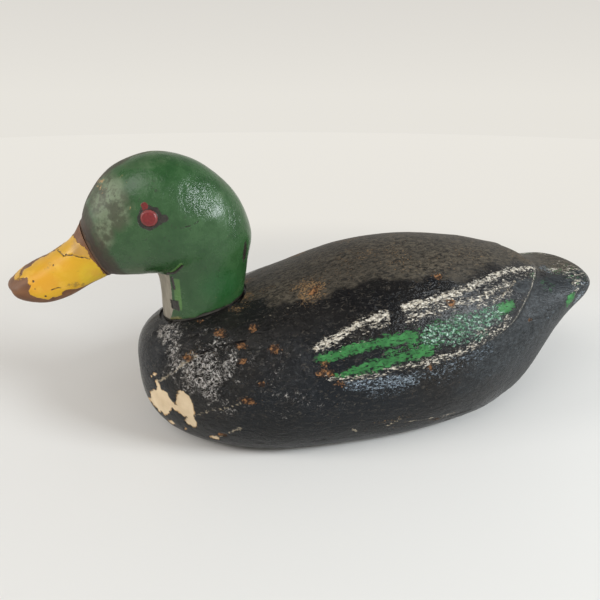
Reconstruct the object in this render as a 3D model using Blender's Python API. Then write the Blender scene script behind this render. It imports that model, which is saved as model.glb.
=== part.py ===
"""Floating duck decoy: a hollow wooden body on a bottom board, a head that turns on a bolt, and the hardware.

The bill points along +X, the duck's left side is +Y and Z is up. The origin is on the surface that the
decoy stands on, half way between the tip of the bill and the tip of the tail. Every number is in
millimetres, and mesh_object() turns them into metres.
"""

import math

import bmesh
import bpy
from mathutils import Matrix, Vector

MM = 0.001
GAP = 0.3  # left between two pieces that touch

# Driving dimensions.
TAIL_X = -211.5
BILL_TIP_X = 211.5
BREAST_X = 142.0
BOARD_THICK = 13.0
SEAL_THICK = 0.8

# Body lines against x: the spine, the keel line, half the beam, the height of the widest line and half
# the flat.
SPINE = [(-211.5, 99), (-185, 98), (-160, 102), (-140, 106.5), (-110, 113.5), (-60, 122), (-10, 120.5),
         (40, 105.5), (80, 94.5), (110, 93), (142, 90)]
KEEL = [(-211.5, 83), (-195, 70), (-170, 47), (-145, 13), (-120, 3), (-100, 0), (142, 0)]
BEAM = [(-211.5, 35.5), (-190, 40.5), (-160, 51.5), (-130, 63), (-80, 78.5), (-20, 83.5), (40, 82),
        (90, 74.5), (142, 68)]
BEAM_Z = [(-211.5, 88), (-180, 82.5), (-150, 67.5), (-100, 50.5), (0, 46), (142, 50)]
FLAT = [(-211.5, 24.5), (-160, 32.5), (-105, 48), (-50, 59), (0, 60), (60, 53.5), (110, 45), (142, 42)]
BREAST_START = 42.5  # from here forward the section shrinks to the breast's front
BREAST_POWER_WIDE, BREAST_POWER_TOP, BREAST_POWER_LOW = 2.2, 3.1, 3.0
TAIL_START = -193.5  # from here back it shrinks to the tail's tip
TAIL_POWER = 2.4

# The folded wings stand proud of the tail's root. Their rear edge, x against the way round from the spine, 0,
# to the widest line, 1.
WING_EDGE = [(0, -146), (0.15, -154), (0.3, -156), (0.5, -140), (0.65, -123), (0.75, -106), (0.85, -60),
             (1, 10)]
WING_STEP = 7.0
WING_EDGE_SOFT = 2.0
WING_FADE_X = -110.0

# The head turns about the bolt, which leans forward and stands square to the neck's flat seat on the body.
SEAT = (94.0, 88.2)  # x and z of the seat's middle
BOLT_TILT = math.radians(14)
SEAT_RADIUS = 31.5
NECK_HALF_LENGTH, NECK_HALF_WIDTH = 29.0, 23.5
BOLT_AXIS = Vector((math.sin(BOLT_TILT), 0, math.cos(BOLT_TILT)))

# Rings of the head above the neck's foot: x and z at the throat's side, x and z at the crown's side, and
# the half width.
HEAD_RINGS = [(122, 100.5, 62.5, 118, 24.5), (123.5, 113.5, 59.5, 140.5, 27.5),
              (128.5, 115, 69.5, 165, 31.5),
              (133.5, 114.5, 92, 184.5, 33), (137.5, 114.5, 117, 191, 32), (143, 114.5, 141.5, 183.5, 28.5),
              (148, 115, 157.5, 167, 23.5), (151.5, 115.5, 165, 151, 19.5)]
BILL_RINGS = [(163, 110.5, 173.5, 139.5, 18), (177.5, 103.5, 187, 131, 19.5),
              (190.5, 101.5, 199, 125.5, 22),
              (202.5, 105, 207.5, 120, 19.5), (209, 110, 211, 117, 10)]
HEAD_SQUARE, BILL_SQUARE = 2.1, 2.3  # superellipse powers of their sections
BILL_TENON_RADIUS, BILL_TENON_LENGTH = 7.5, 16.0

# Eyes: the left one's place, and the way it faces. The right one mirrors it.
EYE_PLACE = (123.0, 32.0, 157.0)
EYE_FACING = (0.11, 0.988, 0.11)
EYE_RADIUS, EYE_RISE, EYE_SUNK = 5.3, 2.4, 1.6
EYE_SHANK_RADIUS, EYE_SHANK_LENGTH = 0.9, 14.0

# The hollow inside the body, drilled and gouged from below.
HOLLOW_REAR, HOLLOW_FRONT, HOLLOW_HALF_WIDTH, HOLLOW_ROOF = -98.0, 40.0, 43.0, 24.0

# Head bolt and what clamps it, each at its distance below the seat, along the bolt.
BOLT_RADIUS, BOLT_ABOVE, BOLT_BELOW = 3.175, 46.0, 79.0
COUNTERBORE_RADIUS, COUNTERBORE_START = 11.0, 66.0
WASHER_RADIUS, WASHER_THICK = 9.5, 1.6
LOCK_WASHER_RADIUS, LOCK_WASHER_THICK = 5.8, 1.6
NUT_ACROSS, NUT_THICK = 11.1, 5.6

# Line tie: a screw eye in a recess under the breast, with a loose ring on it.
TIE_X, TIE_LOOP_Z, TIE_RECESS_RADIUS, TIE_RECESS_TOP = 106.5, 18.9, 13.4, 27.0
TIE_LOOP_RADIUS, TIE_WIRE, TIE_SHANK_RADIUS, TIE_SHANK_TOP = 4.4, 1.2, 1.6, 50.0
RING_RADIUS, RING_WIRE = 5.5, 1.0
RING_PIVOT_Z = TIE_LOOP_Z - TIE_LOOP_RADIUS + TIE_WIRE + RING_WIRE + GAP

# Lead ballast let into the bottom board, and its screws.
BALLAST_X, BALLAST_LENGTH, BALLAST_WIDTH, BALLAST_THICK = -27.0, 84.0, 46.0, 7.0
BALLAST_SCREWS = (-27.0, 27.0)  # from its middle, along x
BALLAST_SCREW = {"head": 3.4, "shank": 1.5, "length": 11.0}

# Board screws, as (x, half their spacing across).
BOARD_SCREWS = [(90, 31), (18, 55), (-47, 55), (-108, 33)]
BOARD_SCREW = {"head": 4.2, "shank": 2.0, "length": 27.0}
SLOT_WIDE, SLOT_DEEP = 1.0, 1.2


def smooth(points):
    """A function through (x, value) points: cubic pieces whose slopes come from each point's neighbours."""
    xs = [p[0] for p in points]
    vs = [p[1] for p in points]
    last = len(xs) - 1
    slopes = []
    for i in range(last + 1):
        low, high = max(i - 1, 0), min(i + 1, last)
        slopes.append((vs[high] - vs[low]) / (xs[high] - xs[low]))

    def value(x):
        x = min(max(x, xs[0]), xs[-1])
        i = 0
        while i < last - 1 and x > xs[i + 1]:
            i += 1
        step = xs[i + 1] - xs[i]
        t = (x - xs[i]) / step
        start = vs[i] * (2 * t**3 - 3 * t**2 + 1) + step * slopes[i] * (t**3 - 2 * t**2 + t)
        end = vs[i + 1] * (3 * t**2 - 2 * t**3) + step * slopes[i + 1] * (t**3 - t**2)
        return start + end

    return value


spine, keel, beam, beam_z, flat = (smooth(line) for line in (SPINE, KEEL, BEAM, BEAM_Z, FLAT))
wing_edge = smooth(WING_EDGE)


def cap(t, power):
    """1 at t = 0, falling to 0 at t = 1, as a superellipse does."""
    return max(0.0, 1 - t**power) ** (1 / power)


def cap_factors(x):
    """How much of its width, and of its height above and depth below the widest line, the section has."""
    if x > BREAST_START:
        t = (x - BREAST_START) / (BREAST_X - BREAST_START)
        return cap(t, BREAST_POWER_WIDE), cap(t, BREAST_POWER_TOP), cap(t, BREAST_POWER_LOW)
    if x < TAIL_START:
        t = (x - TAIL_START) / (TAIL_X - TAIL_START)
        return (cap(t, TAIL_POWER),) * 3
    return 1.0, 1.0, 1.0


def bottom_z(x):
    """Height of the body's bottom at x, which is flat from BREAST_START back to where the keel line rises."""
    return beam_z(x) + (max(0.0, keel(x)) - beam_z(x)) * cap_factors(x)[2]


def wing_rise(x, way_round):
    """How far the folded wing stands proud at x. way_round is 0 at the spine and 1 at the widest line."""
    if x >= 0:
        return 0.0
    behind = 1 / (1 + math.exp(min(40.0, (wing_edge(way_round) - x) / WING_EDGE_SOFT)))
    fade_down = 1 - 0.9 * max(0.0, (way_round - 0.6) / 0.4)
    return WING_STEP * behind * fade_down * min(1.0, x / WING_FADE_X)


def body_section(x, quarter=8, across=2):
    """The body's outline at x, as points that run from the keel up the left side and down the right."""
    wide, high, deep = cap_factors(x)
    middle = beam_z(x)
    top = middle + (spine(x) - middle) * high
    low = middle + (max(0.0, keel(x)) - middle) * deep
    half = beam(x) * wide
    level = min(flat(x), 0.88 * beam(x)) * wide
    side = [(level * i / across, low) for i in range(across)]
    for i in range(quarter):
        angle = math.pi / 2 * (1 - i / quarter)
        side.append((level + (half - level) * math.cos(angle), middle - (middle - low) * math.sin(angle)))
    for i in range(quarter + 1):
        angle = math.pi / 2 * i / quarter
        y, up = half * math.cos(angle), (top - middle) * math.sin(angle)
        grow = 1 + wing_rise(x, 1 - i / quarter) / (math.hypot(y, up) + 1e-6)
        side.append((y * grow, middle + up * grow))
    side[-1] = (0.0, side[-1][1])
    mirrored = [(-y, z) for y, z in side[-2:0:-1]]
    return [(x, y, z) for y, z in side + mirrored]


def body_stations():
    """x of each section: close together at the ends and along the wings' rear edge."""
    xs = [TAIL_X + (TAIL_START - TAIL_X) * (1 - math.cos(math.pi / 2 * i / 5)) for i in range(1, 6)]
    xs += [TAIL_START + 5.5 * i for i in range(1, 24)]
    rear = xs[-1]
    xs += [rear + (BREAST_START - rear) * i / 8 for i in range(1, 9)]
    xs += [BREAST_START + (BREAST_X - BREAST_START) * math.sin(math.pi / 2 * i / 12) for i in range(1, 12)]
    return xs


def head_ring(ring, count, square):
    """A section of the head or bill: a superellipse across the line from its throat to its crown point."""
    throat_x, throat_z, crown_x, crown_z, half = ring
    points = []
    for i in range(count):
        angle = 2 * math.pi * i / count
        across, along = math.sin(angle), -math.cos(angle)
        share = 0.5 + 0.5 * math.copysign(abs(along) ** (2 / square), along)
        y = half * math.copysign(abs(across) ** (2 / square), across)
        x = throat_x + (crown_x - throat_x) * share
        z = throat_z + (crown_z - throat_z) * share
        points.append((x, y, z))
    return points


def along_rings(rings, count):
    """count + 1 rings on smooth curves through the given ones."""
    columns = [smooth(list(enumerate(column))) for column in zip(*rings)]
    steps = [(len(rings) - 1) * i / count for i in range(count + 1)]
    return [tuple(column(step) for column in columns) for step in steps]


def neck_foot():
    """The head's lowest ring, which lies flat on the seat."""
    reach = Vector((math.cos(BOLT_TILT), 0, -math.sin(BOLT_TILT))) * NECK_HALF_LENGTH
    middle = Vector((SEAT[0], 0, SEAT[1])) + BOLT_AXIS * GAP
    throat, nape = middle + reach, middle - reach
    return (throat.x, throat.z, nape.x, nape.z, NECK_HALF_WIDTH)


def on_bolt(below):
    """Matrix that puts an upright piece's origin on the bolt's axis, this far below the seat."""
    place = Vector((SEAT[0], 0, SEAT[1])) - BOLT_AXIS * below
    return Matrix.Translation(place) @ Matrix.Rotation(BOLT_TILT, 4, "Y")


def clear_scene():
    for thing in list(bpy.data.objects):
        bpy.data.objects.remove(thing, do_unlink=True)


def paint(name, colour, roughness, metallic=0.0):
    made = bpy.data.materials.new(name)
    made.use_nodes = True
    shader = made.node_tree.nodes["Principled BSDF"]
    shader.inputs["Base Color"].default_value = (*colour, 1.0)
    shader.inputs["Roughness"].default_value = roughness
    shader.inputs["Metallic"].default_value = metallic
    return made


def mesh_object(name, bm, material=None, place=None):
    """The bmesh, in millimetres, as an object of that name. place moves it, in millimetres too."""
    bmesh.ops.recalc_face_normals(bm, faces=bm.faces)
    bmesh.ops.transform(bm, matrix=Matrix.Scale(MM, 4), verts=bm.verts)
    mesh = bpy.data.meshes.new(name)
    bm.to_mesh(mesh)
    bm.free()
    mesh.shade_smooth()
    mesh.set_sharp_from_angle(angle=math.radians(35))
    if material:
        mesh.materials.append(material)
    made = bpy.data.objects.new(name, mesh)
    if place:
        made.location = place.to_translation() * MM
        made.rotation_euler = place.to_euler()
    bpy.context.collection.objects.link(made)
    return made


def loft(rings, start=None, end=None):
    """Quads between equal rings. Each end closes on a point, or on a flat face where none is given."""
    bm = bmesh.new()
    rows = [[bm.verts.new(point) for point in ring] for ring in rings]
    count = len(rows[0])
    for row, following in zip(rows, rows[1:]):
        for i in range(count):
            j = (i + 1) % count
            bm.faces.new((row[i], row[j], following[j], following[i]))
    for row, point in ((rows[0], start), (rows[-1], end)):
        if point is None:
            bm.faces.new(row)
            continue
        tip = bm.verts.new(point)
        for i in range(count):
            bm.faces.new((row[i], row[(i + 1) % count], tip))
    return bm


def turned(profile, sides=24):
    """A solid of revolution about Z from (radius, height) points, of which the ends are on the axis."""
    rings = []
    for radius, height in profile[1:-1]:
        angles = [2 * math.pi * i / sides for i in range(sides)]
        rings.append([(radius * math.cos(a), radius * math.sin(a), height) for a in angles])
    return loft(rings, (0, 0, profile[0][1]), (0, 0, profile[-1][1]))


def wire_ring(radius, wire, around=24, sides=10):
    """A round wire ring in the XZ plane about the origin."""
    bm = bmesh.new()
    rows = []
    for i in range(around):
        turn = 2 * math.pi * i / around
        row = []
        for j in range(sides):
            angle = 2 * math.pi * j / sides
            out = radius + wire * math.cos(angle)
            row.append(bm.verts.new((out * math.cos(turn), wire * math.sin(angle), out * math.sin(turn))))
        rows.append(row)
    for i in range(around):
        row, following = rows[i], rows[(i + 1) % around]
        for j in range(sides):
            k = (j + 1) % sides
            bm.faces.new((row[j], row[k], following[k], following[j]))
    return bm


def box(low, high):
    bm = bmesh.new()
    bmesh.ops.create_cube(bm, size=1.0)
    size = [b - a for a, b in zip(low, high)]
    middle = [(a + b) / 2 for a, b in zip(low, high)]
    bmesh.ops.transform(bm, matrix=Matrix.Translation(middle) @ Matrix.Diagonal((*size, 1)), verts=bm.verts)
    return bm


def cutter(name, bm, place=None):
    made = mesh_object(name, bm, place=place)
    made.hide_render = True
    made.display_type = "WIRE"
    return made


def cut(target, *cutters, operation="DIFFERENCE"):
    for tool in cutters:
        modifier = target.modifiers.new(tool.name, "BOOLEAN")
        modifier.operation = operation
        modifier.solver = "EXACT"
        modifier.object = tool


def slice_above(bm, height, keep_above):
    """Cuts the bmesh flat at a height, keeps one side and closes it."""
    geometry = bm.verts[:] + bm.edges[:] + bm.faces[:]
    made = bmesh.ops.bisect_plane(
        bm,
        geom=geometry,
        plane_co=(0, 0, height),
        plane_no=(0, 0, 1),
        clear_inner=keep_above,
        clear_outer=not keep_above,
    )
    rim = [part for part in made["geom_cut"] if isinstance(part, bmesh.types.BMEdge)]
    bmesh.ops.edgenet_fill(bm, edges=rim)


def body_solid():
    rings = [body_section(x) for x in body_stations()]
    tail = (TAIL_X, 0, beam_z(TAIL_X))
    breast = (BREAST_X, 0, beam_z(BREAST_X))
    return loft(rings, tail, breast)


def hollow_cutter():
    """The drilled and gouged hollow: an oval in plan with a roof that follows the back."""
    floor = BOARD_THICK + GAP / 2
    rings = []
    steps = 14
    for i in range(1, steps):
        angle = math.pi * i / steps
        x = (HOLLOW_REAR + HOLLOW_FRONT) / 2 - (HOLLOW_FRONT - HOLLOW_REAR) / 2 * math.cos(angle)
        half = HOLLOW_HALF_WIDTH * math.sin(angle) ** 0.6
        rise = (spine(x) - HOLLOW_ROOF - floor) * math.sin(angle) ** 0.35
        ring = [(x, 0, floor)]
        for j in range(9):
            turn = math.pi * j / 8
            y = half * math.copysign(abs(math.cos(turn)) ** 0.5, math.cos(turn))
            ring.append((x, y, floor + 0.35 * rise + 0.65 * rise * math.sin(turn) ** 0.5))
        ring.insert(1, (x, half, floor))
        ring.append((x, -half, floor))
        rings.append(ring)
    return cutter("cut_hollow", loft(rings))


def bolt_cutter():
    """Everything bored about the bolt: the neck's seat, the bolt's hole and the counterbore for the nut."""
    hole = BOLT_RADIUS + 0.4
    deep = COUNTERBORE_START + 40
    profile = [(0, 30), (SEAT_RADIUS, 30), (SEAT_RADIUS, 0), (hole, 0), (hole, -COUNTERBORE_START)]
    profile += [(COUNTERBORE_RADIUS, -COUNTERBORE_START), (COUNTERBORE_RADIUS, -deep), (0, -deep)]
    return cutter("cut_bolt", turned(profile, 32), on_bolt(0))


def tie_cutter():
    """The recess under the breast and the hole for the screw eye's shank."""
    hole = TIE_SHANK_RADIUS + GAP
    profile = [(0, TIE_SHANK_TOP + 1), (hole, TIE_SHANK_TOP + 1), (hole, TIE_RECESS_TOP)]
    profile += [(TIE_RECESS_RADIUS, TIE_RECESS_TOP), (TIE_RECESS_RADIUS, -2), (0, -2)]
    return cutter("cut_tie", turned(profile, 28), Matrix.Translation((TIE_X, 0, 0)))


def screw_profile(size, extra=0.0):
    """Outline of a wood screw that points up, its head's face at height 0. extra widens it for a bore."""
    head, shank, length = size["head"] + extra, size["shank"] + extra, size["length"] + extra
    profile = [(0, -4 * extra), (head, -4 * extra)]
    if extra:
        profile.append((head, 0))
    profile += [(shank, head - shank), (shank, length - 4), (0.4, length), (0, length)]
    return profile


def screw(name, size, x, y, z, material):
    place = Matrix.Translation((x, y, z))
    made = mesh_object(name, turned(screw_profile(size), 16), material, place)
    half = size["head"] + 1
    slot = cutter(f"cut_{name}", box((-SLOT_WIDE / 2, -half, -1), (SLOT_WIDE / 2, half, SLOT_DEEP)), place)
    cut(made, slot)
    return cutter(f"cut_bore_{name}", turned(screw_profile(size, GAP), 16), place)


def build_screws(material):
    """Every board screw and ballast screw. Returns the cutters for their bores, board's first."""
    board_bores = []
    number = 0
    for x, half in BOARD_SCREWS:
        for y in (half, -half):
            number += 1
            foot = bottom_z(x) + 0.4
            board_bores.append(screw(f"board_screw_{number}", BOARD_SCREW, x, y, foot, material))
    ballast_bores = []
    for number, offset in enumerate(BALLAST_SCREWS, 1):
        x = BALLAST_X + offset
        ballast_bores.append(screw(f"ballast_screw_{number}", BALLAST_SCREW, x, 0, 0.4, material))
    return board_bores, ballast_bores


def build_shell(paints, board_bores, ballast_bores):
    """The body, its bottom board, the seam compound between them and the lead in the board."""
    hollow, bolt, tie = hollow_cutter(), bolt_cutter(), tie_cutter()
    seal_low = BOARD_THICK + GAP
    body_low = seal_low + SEAL_THICK + GAP

    bm = body_solid()
    slice_above(bm, body_low, keep_above=True)
    body = mesh_object("body", bm, paints["body"])
    cut(body, hollow, bolt, tie, *board_bores)

    bm = body_solid()
    slice_above(bm, seal_low, keep_above=True)
    slice_above(bm, seal_low + SEAL_THICK, keep_above=False)
    seal = mesh_object("bottom_seal", bm, paints["seal"])
    cut(seal, hollow, bolt, tie, *board_bores)

    bm = body_solid()
    slice_above(bm, BOARD_THICK, keep_above=False)
    board = mesh_object("bottom_board", bm, paints["body"])
    low, high = ballast_corners(GAP)
    pocket = cutter("cut_pocket", box((low[0], low[1], -1), high))
    cut(board, bolt, tie, pocket, *board_bores, *ballast_bores)

    ballast = mesh_object("ballast", box(*ballast_corners()), paints["lead"])
    cut(ballast, *ballast_bores)


def ballast_corners(extra=0.0):
    half_length, half_width = BALLAST_LENGTH / 2 + extra, BALLAST_WIDTH / 2 + extra
    low = (BALLAST_X - half_length, -half_width, 0.2)
    return low, (BALLAST_X + half_length, half_width, 0.2 + BALLAST_THICK + extra)


def build_head(paints):
    """The head, whose foot lies on the seat, and the bill with its tenon, both in place."""
    rings = along_rings([neck_foot()] + HEAD_RINGS, 36)
    head = mesh_object("head", loft([head_ring(ring, 28, HEAD_SQUARE) for ring in rings]), paints["head"])

    throat_x, throat_z, crown_x, crown_z, _ = HEAD_RINGS[-1]
    rising = Vector((crown_x - throat_x, 0, crown_z - throat_z)).normalized()
    forward = Vector((rising.z, 0, -rising.x))
    root = (throat_x + forward.x * GAP, throat_z + forward.z * GAP, crown_x + forward.x * GAP,
            crown_z + forward.z * GAP, HEAD_RINGS[-1][4])
    bill_rings = along_rings([root] + BILL_RINGS, 18)
    tip = (BILL_TIP_X, 0, 0.5 * (BILL_RINGS[-1][1] + BILL_RINGS[-1][3]))
    bill = mesh_object(
        "bill", loft([head_ring(ring, 24, BILL_SQUARE) for ring in bill_rings], end=tip), paints["bill"]
    )
    middle = Vector(((throat_x + crown_x) / 2, 0, (throat_z + crown_z) / 2))
    into_head = Matrix.Translation(middle) @ (-forward).to_track_quat("Z", "X").to_matrix().to_4x4()
    reach, radius = BILL_TENON_LENGTH, BILL_TENON_RADIUS
    tenon = turned([(0, -4), (radius, -4), (radius, reach - 1), (radius - 1, reach), (0, reach)])
    cut(bill, cutter("add_tenon", tenon, into_head), operation="UNION")
    radius += GAP
    socket = turned([(0, -4), (radius, -4), (radius, reach + GAP), (0, reach + GAP)])
    hole = BOLT_RADIUS + GAP
    bore = turned([(0, -10), (hole, -10), (hole, BOLT_ABOVE + 1), (0, BOLT_ABOVE + 1)])
    cut(head, cutter("cut_socket", socket, into_head), cutter("cut_head_bore", bore, on_bolt(0)))
    return head


def eye_dome():
    """The front of a tack eye, from its middle to its rim."""
    angles = [math.pi / 2 * i / 5 for i in range(6)]
    return [(EYE_RADIUS * math.sin(angle), EYE_RISE * math.cos(angle)) for angle in angles]


def eye_back(extra=0.0):
    """The flat back and wire shank of a tack eye, from its rim to the shank's end."""
    radius, shank = EYE_RADIUS + extra, EYE_SHANK_RADIUS + extra
    back = -EYE_SUNK - extra
    end = -EYE_SUNK - EYE_SHANK_LENGTH - extra
    return [(radius, back), (shank, back), (shank, end), (0, end)]


def build_eyes(head, material):
    for name, side in (("eye_left", 1), ("eye_right", -1)):
        facing = Vector((EYE_FACING[0], side * EYE_FACING[1], EYE_FACING[2])).normalized()
        place = Matrix.Translation((EYE_PLACE[0], side * EYE_PLACE[1], EYE_PLACE[2]))
        place = place @ facing.to_track_quat("Z", "Y").to_matrix().to_4x4()
        mesh_object(name, turned(eye_dome() + eye_back(), 20), material, place)
        clear = EYE_RISE + 4
        bore = [(0, clear), (EYE_RADIUS + GAP, clear)] + eye_back(GAP)
        cut(head, cutter(f"cut_{name}", turned(bore, 20), place))


def washer(outer, inner, thick, flats=0, sides=24):
    """A flat ring about Z, from height 0 down. With flats, outer is half the width across them."""
    bm = bmesh.new()
    rows = []
    for i in range(sides):
        turn = 2 * math.pi * i / sides
        reach = outer
        if flats:
            face = 2 * math.pi / flats
            reach = outer / math.cos(turn % face - face / 2)
        points = [(inner, 0), (reach, 0), (reach, -thick), (inner, -thick)]
        rows.append([bm.verts.new((r * math.cos(turn), r * math.sin(turn), z)) for r, z in points])
    for i in range(sides):
        row, following = rows[i], rows[(i + 1) % sides]
        for j in range(4):
            k = (j + 1) % 4
            bm.faces.new((row[j], row[k], following[k], following[j]))
    return bm


def build_bolt(material):
    """The head's hanger bolt, with a flat washer, a spring washer and a hexagon nut in the counterbore."""
    length = BOLT_ABOVE + BOLT_BELOW
    foot = [(0, 0), (BOLT_RADIUS - 0.6, 0), (BOLT_RADIUS, 0.6)]
    point = [(BOLT_RADIUS, length - 8), (0.6, length), (0, length)]
    mesh_object("head_bolt", turned(foot + point, 20), material, on_bolt(BOLT_BELOW))
    bore = BOLT_RADIUS + GAP
    below = COUNTERBORE_START + GAP
    mesh_object("head_washer", washer(WASHER_RADIUS, bore, WASHER_THICK), material, on_bolt(below))
    below += WASHER_THICK + GAP
    lock = washer(LOCK_WASHER_RADIUS, bore, LOCK_WASHER_THICK)
    lock_washer = mesh_object("lock_washer", lock, material, on_bolt(below))
    split = box((bore - 1, -0.6, -LOCK_WASHER_THICK - 1), (LOCK_WASHER_RADIUS + 1, 0.6, 1))
    cut(lock_washer, cutter("cut_split", split, on_bolt(below)))
    below += LOCK_WASHER_THICK + GAP
    nut = washer(NUT_ACROSS / 2, bore, NUT_THICK, flats=6)
    mesh_object("head_nut", nut, material, on_bolt(below))


def build_tie(material):
    """The screw eye under the breast, and the loose ring that the line is tied to."""
    loop = wire_ring(TIE_LOOP_RADIUS, TIE_WIRE)
    eye = mesh_object("line_eye", loop, material, Matrix.Translation((TIE_X, 0, TIE_LOOP_Z)))
    start = TIE_LOOP_RADIUS
    top = TIE_SHANK_TOP - TIE_LOOP_Z
    shank = [(0, start), (TIE_SHANK_RADIUS, start), (TIE_SHANK_RADIUS, top - 5), (0.4, top), (0, top)]
    stem = cutter("add_shank", turned(shank, 16), Matrix.Translation((TIE_X, 0, TIE_LOOP_Z)))
    cut(eye, stem, operation="UNION")

    ring = wire_ring(RING_RADIUS, RING_WIRE)
    bmesh.ops.transform(ring, matrix=Matrix.Rotation(math.pi / 2, 4, "Z"), verts=ring.verts)
    bmesh.ops.translate(ring, vec=(0, 0, -RING_RADIUS), verts=ring.verts)
    mesh_object("line_ring", ring, material, Matrix.Translation((TIE_X, 0, RING_PIVOT_Z)))


def build():
    clear_scene()
    paints = {
        "body": paint("body_paint", (0.02, 0.02, 0.022), 0.5),
        "seal": paint("seam_compound", (0.35, 0.3, 0.22), 0.8),
        "lead": paint("lead", (0.3, 0.31, 0.33), 0.55, 1.0),
        "head": paint("head_paint", (0.02, 0.13, 0.05), 0.35),
        "bill": paint("bill_paint", (0.75, 0.45, 0.03), 0.45),
        "eye": paint("eye_glass", (0.35, 0.02, 0.02), 0.2),
    }
    brass = paint("brass", (0.55, 0.4, 0.15), 0.4, 1.0)
    steel = paint("zinc_steel", (0.5, 0.5, 0.5), 0.4, 1.0)
    board_bores, ballast_bores = build_screws(brass)
    build_shell(paints, board_bores, ballast_bores)
    head = build_head(paints)
    build_eyes(head, paints["eye"])
    build_bolt(steel)
    build_tie(brass)


build()
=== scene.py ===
"""Looks of the floating duck decoy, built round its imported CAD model.

The bill points along +X and the duck's left side is +Y. Lengths in the tables are millimetres; put_mesh()
turns them into metres. On the body, "way" is the way round from the spine, 0, by the widest line, 1, to the
keel, 2. Marks are listed once for both sides; the right side's are shifted a little and take other noise.
"""

import functools
import math

import bmesh
import bpy
import numpy as np
from mathutils import Matrix, Vector

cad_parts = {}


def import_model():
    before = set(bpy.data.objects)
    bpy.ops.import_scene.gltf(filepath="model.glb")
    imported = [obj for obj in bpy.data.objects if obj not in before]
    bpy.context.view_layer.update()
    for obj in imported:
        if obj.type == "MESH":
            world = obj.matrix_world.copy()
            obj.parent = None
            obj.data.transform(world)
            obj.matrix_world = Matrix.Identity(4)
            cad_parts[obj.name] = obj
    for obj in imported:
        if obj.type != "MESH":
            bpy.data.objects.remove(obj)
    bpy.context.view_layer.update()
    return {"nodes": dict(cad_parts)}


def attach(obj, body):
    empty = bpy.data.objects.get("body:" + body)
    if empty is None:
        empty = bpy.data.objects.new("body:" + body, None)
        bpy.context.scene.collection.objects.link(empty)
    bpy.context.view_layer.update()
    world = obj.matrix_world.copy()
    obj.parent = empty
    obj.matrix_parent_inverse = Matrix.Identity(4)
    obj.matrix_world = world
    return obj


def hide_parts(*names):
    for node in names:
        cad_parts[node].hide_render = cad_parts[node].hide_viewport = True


MM = 0.001

# ---------------- the part's own shape, as in its CAD source
TAIL_X, BILL_TIP_X, BREAST_X = -211.5, 211.5, 142.0
BOARD_TOP = 13.0
SPINE = [
    (-211.5, 99), (-185, 98), (-160, 102), (-140, 106.5), (-110, 113.5), (-60, 122), (-10, 120.5),
    (40, 105.5), (80, 94.5), (110, 93), (142, 90),
]
KEEL = [(-211.5, 83), (-195, 70), (-170, 47), (-145, 13), (-120, 3), (-100, 0), (142, 0)]
BEAM = [
    (-211.5, 35.5), (-190, 40.5), (-160, 51.5), (-130, 63), (-80, 78.5), (-20, 83.5), (40, 82), (90, 74.5),
    (142, 68),
]
BEAM_Z = [(-211.5, 88), (-180, 82.5), (-150, 67.5), (-100, 50.5), (0, 46), (142, 50)]
FLAT = [(-211.5, 24.5), (-160, 32.5), (-105, 48), (-50, 59), (0, 60), (60, 53.5), (110, 45), (142, 42)]
BREAST_START, BREAST_POWER_WIDE, BREAST_POWER_TOP, BREAST_POWER_LOW = 42.5, 2.2, 3.1, 3.0
TAIL_START, TAIL_POWER = -193.5, 2.4
WING_EDGE = [
    (0, -146), (0.15, -154), (0.3, -156), (0.5, -140), (0.65, -123), (0.75, -106), (0.85, -60), (1, 10),
]
WING_STEP, WING_EDGE_SOFT, WING_FADE_X = 7.0, 2.0, -110.0
SEAT_X, SEAT_Z, SEAT_RADIUS = 94.0, 88.2, 31.5
BOLT_TILT = math.radians(14)
BOLT_RADIUS, COUNTERBORE_RADIUS, COUNTERBORE_START = 3.175, 11.0, 66.0
TIE_X, TIE_RECESS_RADIUS, TIE_RECESS_TOP, TIE_HOLE_RADIUS, TIE_HOLE_TOP = 106.5, 13.4, 27.0, 1.9, 51.0
NECK_HALF_LENGTH, NECK_HALF_WIDTH, NECK_GAP = 29.0, 23.5, 0.3
HEAD_RINGS = [
    (122, 100.5, 62.5, 118, 24.5), (123.5, 113.5, 59.5, 140.5, 27.5), (128.5, 115, 69.5, 165, 31.5),
    (133.5, 114.5, 92, 184.5, 33), (137.5, 114.5, 117, 191, 32), (143, 114.5, 141.5, 183.5, 28.5),
    (148, 115, 157.5, 167, 23.5), (151.5, 115.5, 165, 151, 19.5),
]
BILL_RINGS = [
    (163, 110.5, 173.5, 139.5, 18), (177.5, 103.5, 187, 131, 19.5), (190.5, 101.5, 199, 125.5, 22),
    (202.5, 105, 207.5, 120, 19.5), (209, 110, 211, 117, 10),
]
HEAD_SQUARE, BILL_SQUARE, BILL_GAP = 2.1, 2.3, 0.3
EYE_PLACE = (123.0, 32.0, 157.0)
EYE_FACING = (0.11, 0.988, 0.11)
EYE_RADIUS = 5.3
BALLAST_X, BALLAST_HALF_LENGTH, BALLAST_HALF_WIDTH, BALLAST_TOP = -27.0, 42.3, 23.3, 7.5
BOARD_SCREWS = [(90, 31), (18, 55), (-47, 55), (-108, 33)]
SCREW_HEAD_RADIUS, SCREW_SHANK_RADIUS, SCREW_HEAD_DEPTH, SCREW_LENGTH = 4.5, 2.3, 2.2, 27.3
EYE_DOME_HEIGHT, EYE_BACK, EYE_SHANK_RADIUS, EYE_SHANK_END = 2.4, -1.6, 0.9, -15.6
BORE_PLAY = 0.4

# ---------------- where the marks of use are
WAY_MM = 118.0  # about how long one way is, round the body's upper side

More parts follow.
